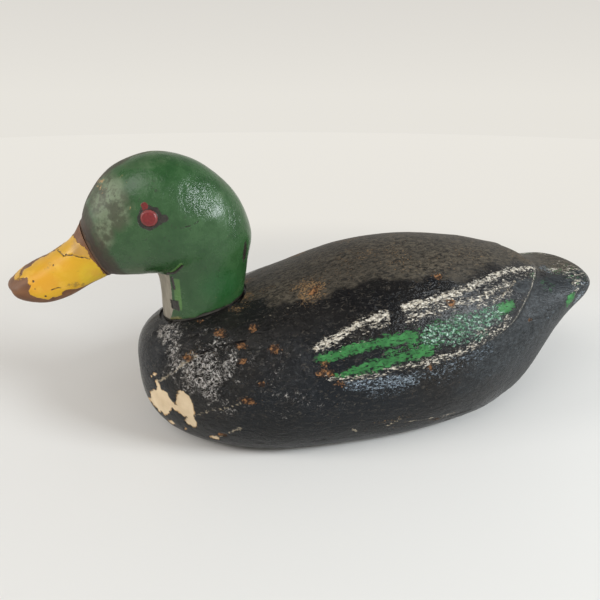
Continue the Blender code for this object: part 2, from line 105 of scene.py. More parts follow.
# Bare filler where the breast's paint has come off, in (mm round the breast, height).
CHIPS = [
    [(19, 28), (25, 32), (29, 39), (38, 45), (39, 54), (41, 53), (43, 46.5), (49, 47), (50, 43), (54, 39),
     (50, 34), (48, 29.5), (44, 26), (39, 23), (37, 26), (32.5, 22.5), (30, 26), (24, 25.5)],
    [(50, 34.5), (52, 39.5), (55.5, 39), (57, 46), (59, 50.5), (63, 51.5), (66, 49), (69, 46), (69.5, 36),
     (68.5, 33), (70, 28), (68.5, 23), (66.5, 22), (60, 24.5), (61, 28), (63, 31.5), (60, 30.5), (56, 33.5)],
    [(37, 16), (41, 19), (45, 21), (48, 20), (47, 17.5), (43, 14), (39, 14.5)],
    [(55, 16), (57, 19), (58, 18), (56, 15.5)],
    [(77, 14), (80, 17.5), (84, 18), (86, 15), (83, 13)],
    [(32, 52.5), (36, 56), (40, 57.5), (38.5, 55), (34, 52)],
]
BREAST_AXIS_X, BREAST_RADIUS = 70.0, 72.0

# Brown dents: (x, way, radius).
DINGS = [
    (88, 0.41, 3.6), (67.5, 0.42, 3.2), (76.5, 0.53, 2.5), (77.5, 0.65, 2.5), (58, 0.59, 2.9),
    (67, 0.81, 2.2), (75.5, 0.96, 4.2), (29, 0.735, 2.3), (31, 0.79, 2.9), (26.5, 0.80, 2.4),
    (19.5, 0.865, 2.3), (-40, 0.865, 2.2), (-58, 0.39, 2.6), (-61, 0.55, 2.8), (25, 0.29, 3.0),
    (22, 0.27, 1.8), (109, 0.615, 3.0), (92, 1.42, 3.2), (-54, 1.45, 1.6), (-66, 1.6, 2.4),
    (-130, 0.79, 1.4), (86, 0.44, 1.8), (100, 0.28, 2.0),
]

# Fine tan specks: (x, way, radius along x, radius in ways, share that is specks).
SPECK_PATCHES = [
    (27, 0.27, 15, 0.12, 0.62), (-12, 0.12, 19, 0.1, 0.42), (68, 0.12, 9, 0.13, 0.6),
    (75, 0.22, 7, 0.06, 0.5), (52, 0.16, 10, 0.07, 0.35), (-35, 0.3, 12, 0.1, 0.25),
    (0, 0.25, 16, 0.12, 0.25), (105, 0.58, 12, 0.05, 0.4), (28, 0.77, 8, 0.06, 0.35),
    (-20, 1.3, 24, 0.05, 0.34), (-22, 1.44, 30, 0.08, 0.26), (-55, 1.48, 18, 0.05, 0.4),
    (75, 0.95, 9, 0.06, 0.3),
]

# Dry-brushed paint on the wing: (line of (x, way), half width, share that is paint).
CREAM_STREAKS = [
    ([(33, 0.64), (18, 0.605), (0, 0.565), (-16, 0.555)], 3.2, 0.84),
    ([(30, 0.665), (0, 0.60), (-16, 0.59)], 6.0, 0.34), ([(27, 0.675), (15, 0.65)], 1.8, 0.45),
    ([(-4, 0.60), (-16, 0.60)], 2.4, 0.65),
    ([(-26, 0.545), (-50, 0.525), (-75, 0.485), (-100, 0.42), (-120, 0.375), (-148, 0.345)], 3.5, 0.76),
    ([(-28, 0.57), (-75, 0.52), (-120, 0.43), (-145, 0.37)], 8.0, 0.36),
    ([(-27, 0.60), (-45, 0.58), (-62, 0.555), (-85, 0.54), (-105, 0.49), (-113, 0.465)], 3.2, 0.68),
    ([(-80, 0.585), (-95, 0.575), (-112, 0.53)], 2.2, 0.66), ([(-86, 0.62), (-96, 0.635)], 2.4, 0.45),
    ([(30, 0.80), (27, 0.83), (12, 0.85), (-6, 0.865), (-16, 0.845), (-36, 0.84)], 2.6, 0.62),
    ([(-36, 0.84), (-58, 0.82), (-80, 0.785)], 3.8, 0.62),
    ([(-80, 0.73), (-96, 0.745), (-104, 0.70)], 5.0, 0.5), ([(-2, 0.665), (6, 0.67)], 1.5, 0.5),
]
CREAM_GAP = [(-21, 0.47), (-22, 0.60)]
GREEN_STREAKS = [
    ([(30, 0.705), (10, 0.695), (-8, 0.69), (-30, 0.70)], 4.2, 0.92),
    ([(20, 0.80), (0, 0.81), (-15, 0.80), (-40, 0.775)], 4.6, 0.86),
    ([(-12, 0.75), (-45, 0.745)], 5.0, 0.60), ([(-28, 0.70), (-62, 0.68)], 7.0, 0.46),
    ([(-45, 0.64), (-62, 0.62), (-74, 0.63)], 3.0, 0.45), ([(-70, 0.66), (-100, 0.60)], 6.0, 0.30),
    ([(-100, 0.625), (-108, 0.612)], 4.6, 1.0), ([(-94, 0.66), (-100, 0.64)], 2.4, 0.6),
    ([(-139, 0.42), (-146, 0.42)], 4.5, 0.5),
]
GREEN_HOLE = [(22, 0.77), (7, 0.755)]
MINT_STREAKS = [
    ([(-42, 0.705), (-64, 0.675), (-94, 0.645)], 7.5, 0.66), ([(-55, 0.735), (-80, 0.735)], 5.5, 0.62),
    ([(-28, 0.73), (-45, 0.715)], 5.0, 0.34),
]
# Painted reflection: the blue-white sheen under the wing where the glossy paint mirrors the window light;
# same columns as the paint streaks.
PAINTED_SHEEN_STREAKS = [
    ([(12, 0.895), (-12, 0.925), (-30, 0.92)], 5.5, 0.62), ([(0, 0.97), (-24, 0.97)], 4.0, 0.42),
    ([(-36, 0.895), (-60, 0.875), (-88, 0.85)], 6.5, 0.44), ([(-50, 0.95), (-80, 0.94)], 7.0, 0.26),
    ([(-70, 1.05), (-95, 1.0)], 14.0, 0.20),
]

# Marks on the tail: (x, way, radius along x, radius in ways, share), by colour.
TAIL_GREEN = [
    (-176, 0.98, 7, 0.16, 0.9), (-158, 0.55, 9, 0.16, 0.42), (-178, 0.36, 14, 0.14, 0.45),
    (-190, 0.5, 18, 0.5, 0.36),
]
TAIL_CREAM = [
    (-186, 0.68, 7, 0.12, 0.66), (-182, 0.88, 5, 0.1, 0.5), (-176, 0.33, 10, 0.06, 0.6),
    (-192, 0.5, 18, 0.5, 0.42), (-190, 1.2, 6, 0.18, 0.4),
]
# Blue-white specks on the tail go into the same painted sheen field.
TAIL_BLUE = [
    (-189, 1.18, 8, 0.22, 0.6), (-193, 0.85, 8, 0.2, 0.42), (-168, 0.3, 9, 0.12, 0.5),
    (-150, 0.9, 14, 0.2, 0.2),
]

# Lines on the body in (x, way): a dark split, and pale scratches with their half widths.
CRACK = [(103, 0.585), (96, 0.545), (88, 0.51), (82, 0.505), (74, 0.50)]
SCRATCHES = [
    ([(128, 0.93), (123, 0.83), (113, 0.68), (104, 0.595)], 0.55, 0.8),
    ([(108, 1.22), (100, 1.12), (90, 1.05), (79, 0.98)], 0.6, 0.75),
    ([(98, 1.51), (93, 1.44), (86, 1.33), (81, 1.26)], 0.8, 0.75), ([(-13, 1.40), (-24, 1.31)], 0.8, 0.85),
    ([(6, 1.40), (10, 1.34)], 0.8, 0.8), ([(-28, 1.37), (-58, 1.42), (-72, 1.44)], 0.7, 0.8),
    ([(42, 0.72), (36, 0.80)], 0.4, 0.4), ([(-120, 0.46), (-104, 0.545)], 0.5, 0.8),
    ([(15, 1.02), (-2, 1.03)], 0.5, 0.4), ([(60, 0.36), (30, 0.34)], 0.7, 0.3),
]
# Where the paint has gone glossy and wrinkled: (x, way, radius along x, radius in ways, amount); and, in (mm
# round the breast, height, radius), where it is smooth and black again.
# The wrinkled area also gets painted glints: light grey specks that stand in for highlights.
CRINKLES = [
    (122, 0.36, 14, 0.16, 1.0), (112, 0.62, 16, 0.2, 1.0), (97, 0.80, 17, 0.22, 1.0),
    (90, 0.62, 14, 0.16, 0.8), (93, 1.02, 14, 0.12, 0.8), (103, 0.75, 34, 0.40, 0.75),
    (60, 0.8, 30, 0.3, 0.42), (40, 1.05, 30, 0.1, 0.45),
]
BLACK_PATCHES = [(28, 66, 10), (50, 50, 8.5), (60, 78, 5), (76, 38, 6)]

# Lower limit of the worn, dusty back: way against x.
WORN_LIMIT = [
    (-211, 0.5), (-160, 0.35), (-140, 0.30), (-120, 0.33), (-100, 0.36), (-75, 0.42), (-50, 0.40),
    (-20, 0.37), (20, 0.35), (45, 0.32), (62, 0.22), (80, 0.12), (142, 0.02),
]

# The bill's marks, from the side in (x, z): the yellow paint, its brown corner, a crack, a nick and dots.
YELLOW = [
    (171, 143), (168.5, 142), (166, 140.5), (163, 139.5), (161, 136), (160, 132), (158.5, 129.5),
    (156, 125), (154.6, 121), (153.5, 117), (155, 115), (164, 112.5), (168, 111.5), (171, 111),
    (175, 111.8), (179.5, 111), (180, 109), (182, 107.5), (185.5, 108.5), (188, 107.3), (191, 109),
    (193.5, 110.8), (196, 112.8), (196.6, 115.5), (195, 118), (196.8, 119.5), (197, 121.8), (202.3, 121.3),
    (200.3, 123.8), (196, 126.8), (190, 129.6), (184, 133.2), (178, 137), (173, 141),
]
OCHRE = [(170.5, 133.5), (169.5, 141), (163, 140), (160, 136), (159, 131.5), (166, 132.8)]
BILL_CRACK = [(179.5, 134.5), (176, 133), (170.5, 133.3), (165, 132), (160, 131)]
BILL_NICK = [(184.5, 113.9), (181, 114.6), (179.6, 114.2)]
BILL_MARKS = [
    (182, 128, 0.7), (193.5, 120.3, 0.8), (188.3, 110.2, 0.8), (193, 116, 0.5), (174, 133.6, 0.7),
    (165, 132.3, 0.8), (170.8, 133.6, 0.6),
]

# The head's marks, seen from the side in (x, z): black paint round the eye, on the neck and under the cheek,
# pale green beside the throat and red beside the eye.
EYE_SMEAR = [(118, 156), (114.5, 156.5)]
CHEEK_LINE = [(106, 150), (100, 151.5), (94.5, 154)]
NECK_PATCH = [(111.3, 98.8), (116.8, 98.4), (116.4, 92), (110.8, 91.4)]
THROAT_LINE = [(114.2, 115), (113.2, 107)]
JAW_LINE = [(117, 117.5), (112, 119), (107, 124.5)]
JAW_GREEN = [(115, 118), (111, 121.5), (107.5, 126)]
EYE_RUN = [(124.6, 162.5), (125.4, 159.5)]

# ---------------- fineness of the meshes
BODY_STEP, BODY_FLAT_COUNT, BODY_LOW_COUNT, BODY_HIGH_COUNT = 1.3, 8, 42, 94
HEAD_SECTIONS, HEAD_SIDES = 230, 300
BILL_SECTIONS, BILL_SIDES, BILL_TIP_SECTIONS = 130, 200, 12
BOARD_GAP = 0.05
SHARP_ANGLE = math.radians(35)
NOWHERE = -20.0  # the depth that stands for "no chip or dent near here"

# ---------------- stage, in metres and watts
BACKDROP = (0.80, 0.775, 0.72)
FLOOR_RADIUS, FLOOR_DROP, FLOOR_FADE = 3.0, 0.0002, (0.22, 0.62)
LIGHTS = [  # name, place, aim, size, watts, colour
    ("window", (-0.95, 0.75, 0.75), (0.05, 0, 0.1), (0.45, 0.38), 17.0, (0.90, 0.96, 1.0)),
    ("ceiling", (0.8, 0.6, 1.4), (0.1, 0, 0.05), (1.0, 0.8), 6.5, (1.0, 0.98, 0.95)),
    ("front", (1.15, 0.05, 0.65), (0.1, 0, 0.06), (0.35, 0.3), 5.0, (1.0, 0.97, 0.94)),
]
CAMERA_PLACE = (0.1114, 0.3260, 0.2231)
CAMERA_AZIMUTH, CAMERA_ELEVATION, CAMERA_ROLL = 15.0, 22.6, 0.2
CAMERA_LENS, CAMERA_SENSOR = 29.59, 36.0


# ---------------- arithmetic
def smooth(points):
    """A function of arrays through (x, value) points, the same curve as in the part's source."""
    xs = np.array([p[0] for p in points], float)
    vs = np.array([p[1] for p in points], float)
    last = len(xs) - 1
    low = np.maximum(np.arange(last + 1) - 1, 0)
    high = np.minimum(np.arange(last + 1) + 1, last)
    slopes = (vs[high] - vs[low]) / (xs[high] - xs[low])

    def value(x):
        x = np.clip(np.asarray(x, float), xs[0], xs[-1])
        i = np.clip(np.searchsorted(xs, x, side="left") - 1, 0, last - 1)
        step = xs[i + 1] - xs[i]
        t = (x - xs[i]) / step
        start = vs[i] * (2 * t**3 - 3 * t**2 + 1) + step * slopes[i] * (t**3 - 2 * t**2 + t)
        end = vs[i + 1] * (3 * t**2 - 2 * t**3) + step * slopes[i + 1] * (t**3 - t**2)
        return start + end

    return value


spine, keel, beam, beam_z, flat = (smooth(line) for line in (SPINE, KEEL, BEAM, BEAM_Z, FLAT))
wing_edge = smooth(WING_EDGE)
worn_limit = smooth(WORN_LIMIT)


def ease(value, low, high):
    """0 below low, 1 above high, smooth between them."""
    t = np.clip((value - low) / (high - low), 0, 1)
    return t * t * (3 - 2 * t)


def lattice(cells, seed):
    """A repeatable random number from 0 to 1 for each row of whole numbers."""
    h = (cells[..., 0].astype(np.uint32) * np.uint32(374761393)
         + cells[..., 1].astype(np.uint32) * np.uint32(668265263)
         + cells[..., 2].astype(np.uint32) * np.uint32(2147483647)
         + np.uint32(seed * 1274126177 % 4294967296))
    h = (h ^ (h >> np.uint32(13))) * np.uint32(1274126177)
    h = (h ^ (h >> np.uint32(16))) * np.uint32(2246822519)
    h = h ^ (h >> np.uint32(13))
    return h.astype(np.float64) / 4294967295.0


def noise(points, cell, seed):
    """Smooth noise from -1 to 1 with features about cell long."""
    p = points / cell + 1000.0
    base = np.floor(p).astype(np.int64)
    t = p - base
    t = t * t * (3 - 2 * t)
    total = np.zeros(len(points))
    for corner in range(8):
        step = np.array([corner & 1, corner >> 1 & 1, corner >> 2 & 1])
        weight = np.prod(np.where(step == 1, t, 1 - t), axis=1)
        total += weight * lattice(base + step, seed)
    return total * 2 - 1


def fractal(points, cell, octaves, seed):
    total, size, norm = 0.0, 1.0, 0.0
    for i in range(octaves):
        total = total + size * noise(points, cell / 2**i, seed + 17 * i)
        norm += size
        size *= 0.55
    return total / norm


def most(*fields):
    """The greatest of several fields, point by point."""
    return functools.reduce(np.maximum, fields)


def line_distance(u, v, line):
    """Distance of each (u, v) from a line through corners."""
    best = np.full(len(u), 1e9)
    for (u0, v0), (u1, v1) in zip(line, line[1:]):
        du, dv = u1 - u0, v1 - v0
        t = np.clip(((u - u0) * du + (v - v0) * dv) / (du * du + dv * dv + 1e-12), 0, 1)
        best = np.minimum(best, np.hypot(u - u0 - t * du, v - v0 - t * dv))
    return best


def polygon_depth(u, v, corners):
    """Distance of each (u, v) from a polygon's outline, positive inside."""
    closed = corners + corners[:1]
    inside = np.zeros(len(u), bool)
    for (u0, v0), (u1, v1) in zip(closed, closed[1:]):
        crosses = (v0 > v) != (v1 > v)
        with np.errstate(divide="ignore", invalid="ignore"):
            at = u0 + (v - v0) * (u1 - u0) / (v1 - v0 if v1 != v0 else 1e-9)
        inside ^= crosses & (u < at)
    away = line_distance(u, v, closed)
    return np.where(inside, away, -away)


def from_line(u, way, line):
    """Distance in mm of each (x, way) from a line of (x, way) corners."""
    return line_distance(u, way * WAY_MM, [(x, w * WAY_MM) for x, w in line])


def streaks(u, way, table, soft=3.0):
    """Share of paint in the brushed streaks of a table."""
    return most(*(0.86 * amount * ease(half + soft - from_line(u, way, line), 0, 2 * soft)
                  for line, half, amount in table))


def patches(u, way, table, soft=1.3):
    """Amount at each point of the soft oval patches of a table."""
    return most(*(amount * ease(1.5 - np.hypot((u - x) / along, (way - w) / round_), 0, soft)
                  for x, w, along, round_, amount in table))


# ---------------- the body's surface
def cap(t, power):
    return np.maximum(0.0, 1 - np.clip(t, 0, 1) ** power) ** (1 / power)


def section_lines(x):
    """Half beam, height of the widest line, top, bottom and half flat of the section at each x."""
    t_front = (x - BREAST_START) / (BREAST_X - BREAST_START)
    t_rear = (x - TAIL_START) / (TAIL_X - TAIL_START)
    rear = cap(t_rear, TAIL_POWER)
    wide = cap(t_front, BREAST_POWER_WIDE) * rear
    high = cap(t_front, BREAST_POWER_TOP) * rear
    deep = cap(t_front, BREAST_POWER_LOW) * rear
    middle = beam_z(x)
    top = middle + (spine(x) - middle) * high
    low = middle + (np.maximum(0.0, keel(x)) - middle) * deep
    level = np.minimum(flat(x), 0.88 * beam(x)) * wide
    return beam(x) * wide, middle, top, low, level


def wing_rise(x, way):
    behind = 1 / (1 + np.exp(np.clip((wing_edge(way) - x) / WING_EDGE_SOFT, -40, 40)))
    fade_down = 1 - 0.9 * np.maximum(0.0, (way - 0.6) / 0.4)
    return np.where(x >= 0, 0.0, WING_STEP * behind * fade_down * np.clip(x / WING_FADE_X, 0, 1))


def upper_point(x, way):
    half, middle, top, _, _ = section_lines(x)
    angle = math.pi / 2 * (1 - way)
    y, up = half * np.cos(angle), (top - middle) * np.sin(angle)
    grow = 1 + wing_rise(x, way) / (np.hypot(y, up) + 1e-6)
    return y * grow, middle + up * grow


def lower_point(x, way):
    half, middle, _, low, level = section_lines(x)
    angle = math.pi / 2 * (way - 1)
    return level + (half - level) * np.cos(angle), middle - (middle - low) * np.sin(angle)


def even_stations(step):
    """x of sections that are about one step apart along the surface."""
    turn = np.linspace(0, math.pi, 24001)
    x = (TAIL_X + BREAST_X) / 2 - (BREAST_X - TAIL_X) / 2 * np.cos(turn)
    half, middle, top, low, _ = section_lines(x)
    travel = np.zeros(len(x))
    for y, z in ((0 * x, top), (half, middle), (0 * x, low)):
        piece = np.sqrt(np.diff(x) ** 2 + np.diff(y) ** 2 + np.diff(z) ** 2)
        travel[1:] = np.maximum(travel[1:], piece)
    along = np.cumsum(travel)
    count = int(along[-1] / step)
    return np.interp(np.linspace(0, along[-1], count + 1)[1:-1], along, x)


def body_rings():
    """Sections of the body, each a ring of points from the keel up the left side and down the right."""
    x = even_stations(BODY_STEP)[:, None]
    _, _, _, low, level = section_lines(x)
    share = np.arange(BODY_FLAT_COUNT)[None] / BODY_FLAT_COUNT
    flat_y, flat_z = level * share, low + 0 * share
    low_y, low_z = lower_point(x, 2 - np.arange(BODY_LOW_COUNT)[None] / BODY_LOW_COUNT)
    high_y, high_z = upper_point(x, 1 - np.arange(BODY_HIGH_COUNT + 1)[None] / BODY_HIGH_COUNT)
    high_y[:, -1] = 0
    y = np.concatenate([flat_y, low_y, high_y], axis=1)
    z = np.concatenate([flat_z, low_z, high_z], axis=1)
    y = np.concatenate([y, -y[:, -2:0:-1]], axis=1)
    z = np.concatenate([z, z[:, -2:0:-1]], axis=1)
    return np.stack([np.broadcast_to(x, y.shape), y, z], axis=-1)


def way_round(x, y, z):
    """Way round of points near the body's surface, and how far they are from it."""
    half, middle, top, low, level = section_lines(x)
    side = np.abs(y)
    up = np.arctan2((z - middle) / np.maximum(top - middle, 1e-3), side / np.maximum(half, 1e-3))
    down = np.arctan2((middle - z) / np.maximum(middle - low, 1e-3),
                      (side - level) / np.maximum(half - level, 1e-3))
    way = np.where(z >= middle, 1 - up / (math.pi / 2), 1 + np.clip(down, 0, math.pi / 2) / (math.pi / 2))
    way = np.clip(way, 0, 2)
    yu, zu = upper_point(x, np.minimum(way, 1))
    yl, zl = lower_point(x, np.maximum(way, 1))
    off = np.where(way <= 1, np.hypot(side - yu, z - zu), np.hypot(side - yl, z - zl))
    return way, off


# ---------------- meshes
def grid_mesh(rings, start=None, end=None):
    """Vertices and faces of quads between rings. An end closes on its point or, without one, on one face."""
    rows, count = rings.shape[:2]
    points = rings.reshape(-1, 3)
    index = np.arange(rows * count).reshape(rows, count)
    following = np.roll(index, -1, axis=1)
    quads = np.stack([index[:-1], following[:-1], following[1:], index[1:]], axis=-1).reshape(-1, 4)
    faces = quads.tolist()
    extra = []
    for row, point, flip in ((index[0], start, True), (index[-1], end, False)):
        ordered = row[::-1] if flip else row
        if point is None:
            faces.append(ordered.tolist())
            continue
        tip = len(points) + len(extra)
        extra.append(point)
        faces += [(int(a), int(b), tip) for a, b in zip(ordered, np.roll(ordered, -1))]
    if extra:
        points = np.concatenate([points, np.array(extra, float)])
    return points, faces


def put_thing(name, data):
    thing = bpy.data.objects.new(name, data)
    bpy.context.scene.collection.objects.link(thing)
    return thing


def put_mesh(name, points, faces):
    mesh = bpy.data.meshes.new(name)
    mesh.from_pydata((np.asarray(points) * MM).tolist(), [], faces)
    mesh.update()
    bm = bmesh.new()
    bm.from_mesh(mesh)
    bmesh.ops.recalc_face_normals(bm, faces=bm.faces)
    bm.to_mesh(mesh)
    bm.free()
    return put_thing(name, mesh)


def slice_mesh(thing, height, keep_above):
    """Cuts the mesh flat at a height in mm, keeps one side and closes it."""
    bm = bmesh.new()
    bm.from_mesh(thing.data)
    everything = bm.verts[:] + bm.edges[:] + bm.faces[:]
    made = bmesh.ops.bisect_plane(bm, geom=everything, plane_co=(0, 0, height * MM), plane_no=(0, 0, 1),
                                  clear_inner=keep_above, clear_outer=not keep_above)
    rim = [part for part in made["geom_cut"] if isinstance(part, bmesh.types.BMEdge)]
    bmesh.ops.edgenet_fill(bm, edges=rim)
    bmesh.ops.recalc_face_normals(bm, faces=bm.faces)
    bm.to_mesh(thing.data)
    bm.free()


def turned(name, profile, sides, matrix):
    """A closed solid of revolution from (radius, height) pairs, placed by a matrix in mm."""
    turn = np.arange(sides) * 2 * math.pi / sides
    rings = [np.stack([r * np.cos(turn), r * np.sin(turn), 0 * turn + z], axis=-1) for r, z in profile[1:-1]]
    points, faces = grid_mesh(np.array(rings), (0, 0, profile[0][1]), (0, 0, profile[-1][1]))
    return put_mesh(name, np.array([matrix @ Vector(p) for p in points]), faces)


def box_solid(name, low, high):
    bm = bmesh.new()
    bmesh.ops.create_cube(bm, size=1.0)
    for vert in bm.verts:
        vert.co = Vector([(a + b) / 2 + c * (b - a) for a, b, c in zip(low, high, vert.co)]) * MM
    mesh = bpy.data.meshes.new(name)
    bm.to_mesh(mesh)
    bm.free()
    return put_thing(name, mesh)


def carve(thing, *cutters):
    """Takes the cutters out of the mesh, and removes them."""
    for cutter in cutters:
        modifier = thing.modifiers.new("carve", "BOOLEAN")
        modifier.solver = "EXACT"
        modifier.object = cutter
    bpy.context.view_layer.update()
    evaluated = thing.evaluated_get(bpy.context.evaluated_depsgraph_get())
    mesh = bpy.data.meshes.new_from_object(evaluated)
    thing.modifiers.clear()
    thing.data = mesh
    for cutter in cutters:
        bpy.data.objects.remove(cutter)


def vertex_arrays(thing):
    """Places in mm and normals of a mesh's vertices."""
    count = len(thing.data.vertices)
    places, normals = np.empty(count * 3, np.float32), np.empty(count * 3, np.float32)
    thing.data.vertices.foreach_get("co", places)
    thing.data.vertices.foreach_get("normal", normals)
    return places.reshape(-1, 3).astype(float) / MM, normals.reshape(-1, 3).astype(float)


def finish_piece(thing, body, material, node, fields, rise):
    """Moves the vertices out by rise, keeps the fields for the material to read, and hands the piece over."""
    places, normals = vertex_arrays(thing)
    mesh = thing.data
    moved = (places + normals * rise[:, None]) * MM
    mesh.vertices.foreach_set("co", moved.astype(np.float32).ravel())
    mesh.update()
    for name, values in fields.items():
        layer = mesh.attributes.new(name, "FLOAT", "POINT")
        layer.data.foreach_set("value", np.asarray(values, np.float32))
    mesh.shade_smooth()
    mesh.set_sharp_from_angle(angle=SHARP_ANGLE)
    mesh.materials.clear()
    mesh.materials.append(material)
    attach(thing, body)
    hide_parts(node)


# ---------------- materials
class Shader:
    """A material's node tree, with one call per node."""

    def __init__(self, name):
        self.material = bpy.data.materials.new(name)
        self.material.use_nodes = True
        self.tree = self.material.node_tree
        self.tree.nodes.clear()
        self.surface = self.tree.nodes.new("ShaderNodeBsdfPrincipled")
        output = self.tree.nodes.new("ShaderNodeOutputMaterial")
        self.tree.links.new(self.surface.outputs["BSDF"], output.inputs["Surface"])
        self.place = self.tree.nodes.new("ShaderNodeTexCoord").outputs["Object"]
        self.colour = self.rough = None

    def put(self, socket, value):
        if isinstance(value, bpy.types.NodeSocket):
            self.tree.links.new(value, socket)
        elif isinstance(value, tuple) and len(value) == 3 and socket.type == "RGBA":
            socket.default_value = (*value, 1.0)
        else:
            socket.default_value = value

    def node(self, kind, inputs, **settings):
        """Adds a node, applies its settings and fills its inputs from a {name or number: value}."""
        node = self.tree.nodes.new("ShaderNode" + kind)
        for setting, value in settings.items():
            setattr(node, setting, value)
        for key, value in inputs.items():
            self.put(node.inputs[key], value)
        return node

    def math(self, operation, *values, clamp=False):
        inputs = dict(enumerate(values))
        return self.node("Math", inputs, operation=operation, use_clamp=clamp).outputs[0]

    def times(self, a, b):
        return self.math("MULTIPLY", a, b)

    def minus(self, a, b):
        return self.math("SUBTRACT", a, b)

    def most(self, a, b):
        return self.math("MAXIMUM", a, b)

    def folded(self, value):
        """Turns a noise about 0.5 into sharp folds along its middle."""
        return self.math("ABSOLUTE", self.minus(value, 0.5))

    def around(self, value, amount):
        """Turns a noise about 0.5 into one about 0, this many times as wide."""
        return self.times(self.minus(value, 0.5), amount)

    def noise(self, per_metre, detail=3.0, rough=0.6, stretch=None, twist=0.0, spread=1.0):
        """Noise about 0.5, made wider by spread."""
        place = self.place
        if stretch:
            place = self.node("Mapping", {"Vector": place, "Scale": stretch}).outputs[0]
        inputs = {"Vector": place, "Scale": per_metre, "Detail": detail, "Roughness": rough}
        value = self.node("TexNoise", {**inputs, "Distortion": twist}).outputs["Fac"]
        return value if spread == 1.0 else self.math("MULTIPLY_ADD", value, spread, 0.5 - spread / 2)

    def field(self, name):
        return self.node("Attribute", {}, attribute_name=name).outputs["Fac"]

    def ramp(self, value, low, high, to_low=0.0, to_high=1.0):
        inputs = dict(enumerate((value, low, high, to_low, to_high)))
        return self.node("MapRange", inputs, interpolation_type="SMOOTHSTEP").outputs[0]

    def specks(self, share, grain, sharp=5.0):
        """1 where paint is, for a share from 0 to 1 of the surface, in the shape of a grain noise."""
        need = self.math("MULTIPLY_ADD", share, -1.15, 1.08)
        return self.math("MULTIPLY", self.minus(grain, need), sharp, clamp=True)

    def mix(self, share, a, b):
        """A colour from a, where share is 0, to b, where it is 1."""
        return self.node("Mix", {"Factor": share, "A": a, "B": b}, data_type="RGBA").outputs["Result"]

    def blend(self, share, a, b):
        """A number from a, where share is 0, to b, where it is 1."""
        return self.node("Mix", {"Factor": share, "A": a, "B": b}).outputs["Result"]

    def coat(self, share, colour, strength=None, rough=None):
        """Lays a colour, and a roughness, over what the material has so far."""
        cover = share if strength is None else self.times(share, strength)
        self.colour = self.mix(cover, self.colour, colour)
        if rough is not None:
            self.rough = self.blend(share, self.rough, rough)

    def total(self, *parts):
        return functools.reduce(functools.partial(self.math, "ADD"), parts)

    def weighted(self, *pairs):
        """The sum of (value, weight) pairs."""
        return self.total(*(self.times(value, weight) for value, weight in pairs))

    def finish(self, colour, roughness, height=None, height_mm=0.3, specular=0.5, metallic=0.0):
        """Fills the surface's sockets and gives the material."""
        inputs = {"Base Color": colour, "Roughness": roughness, "Specular IOR Level": specular,
                  "Metallic": metallic}
        if height is not None:
            bump = self.node("Bump", {"Height": height, "Distance": height_mm * MM, "Strength": 1.0})
            inputs["Normal"] = bump.outputs["Normal"]
        for name, value in inputs.items():
            self.put(self.surface.inputs[name], value)
        return self.material


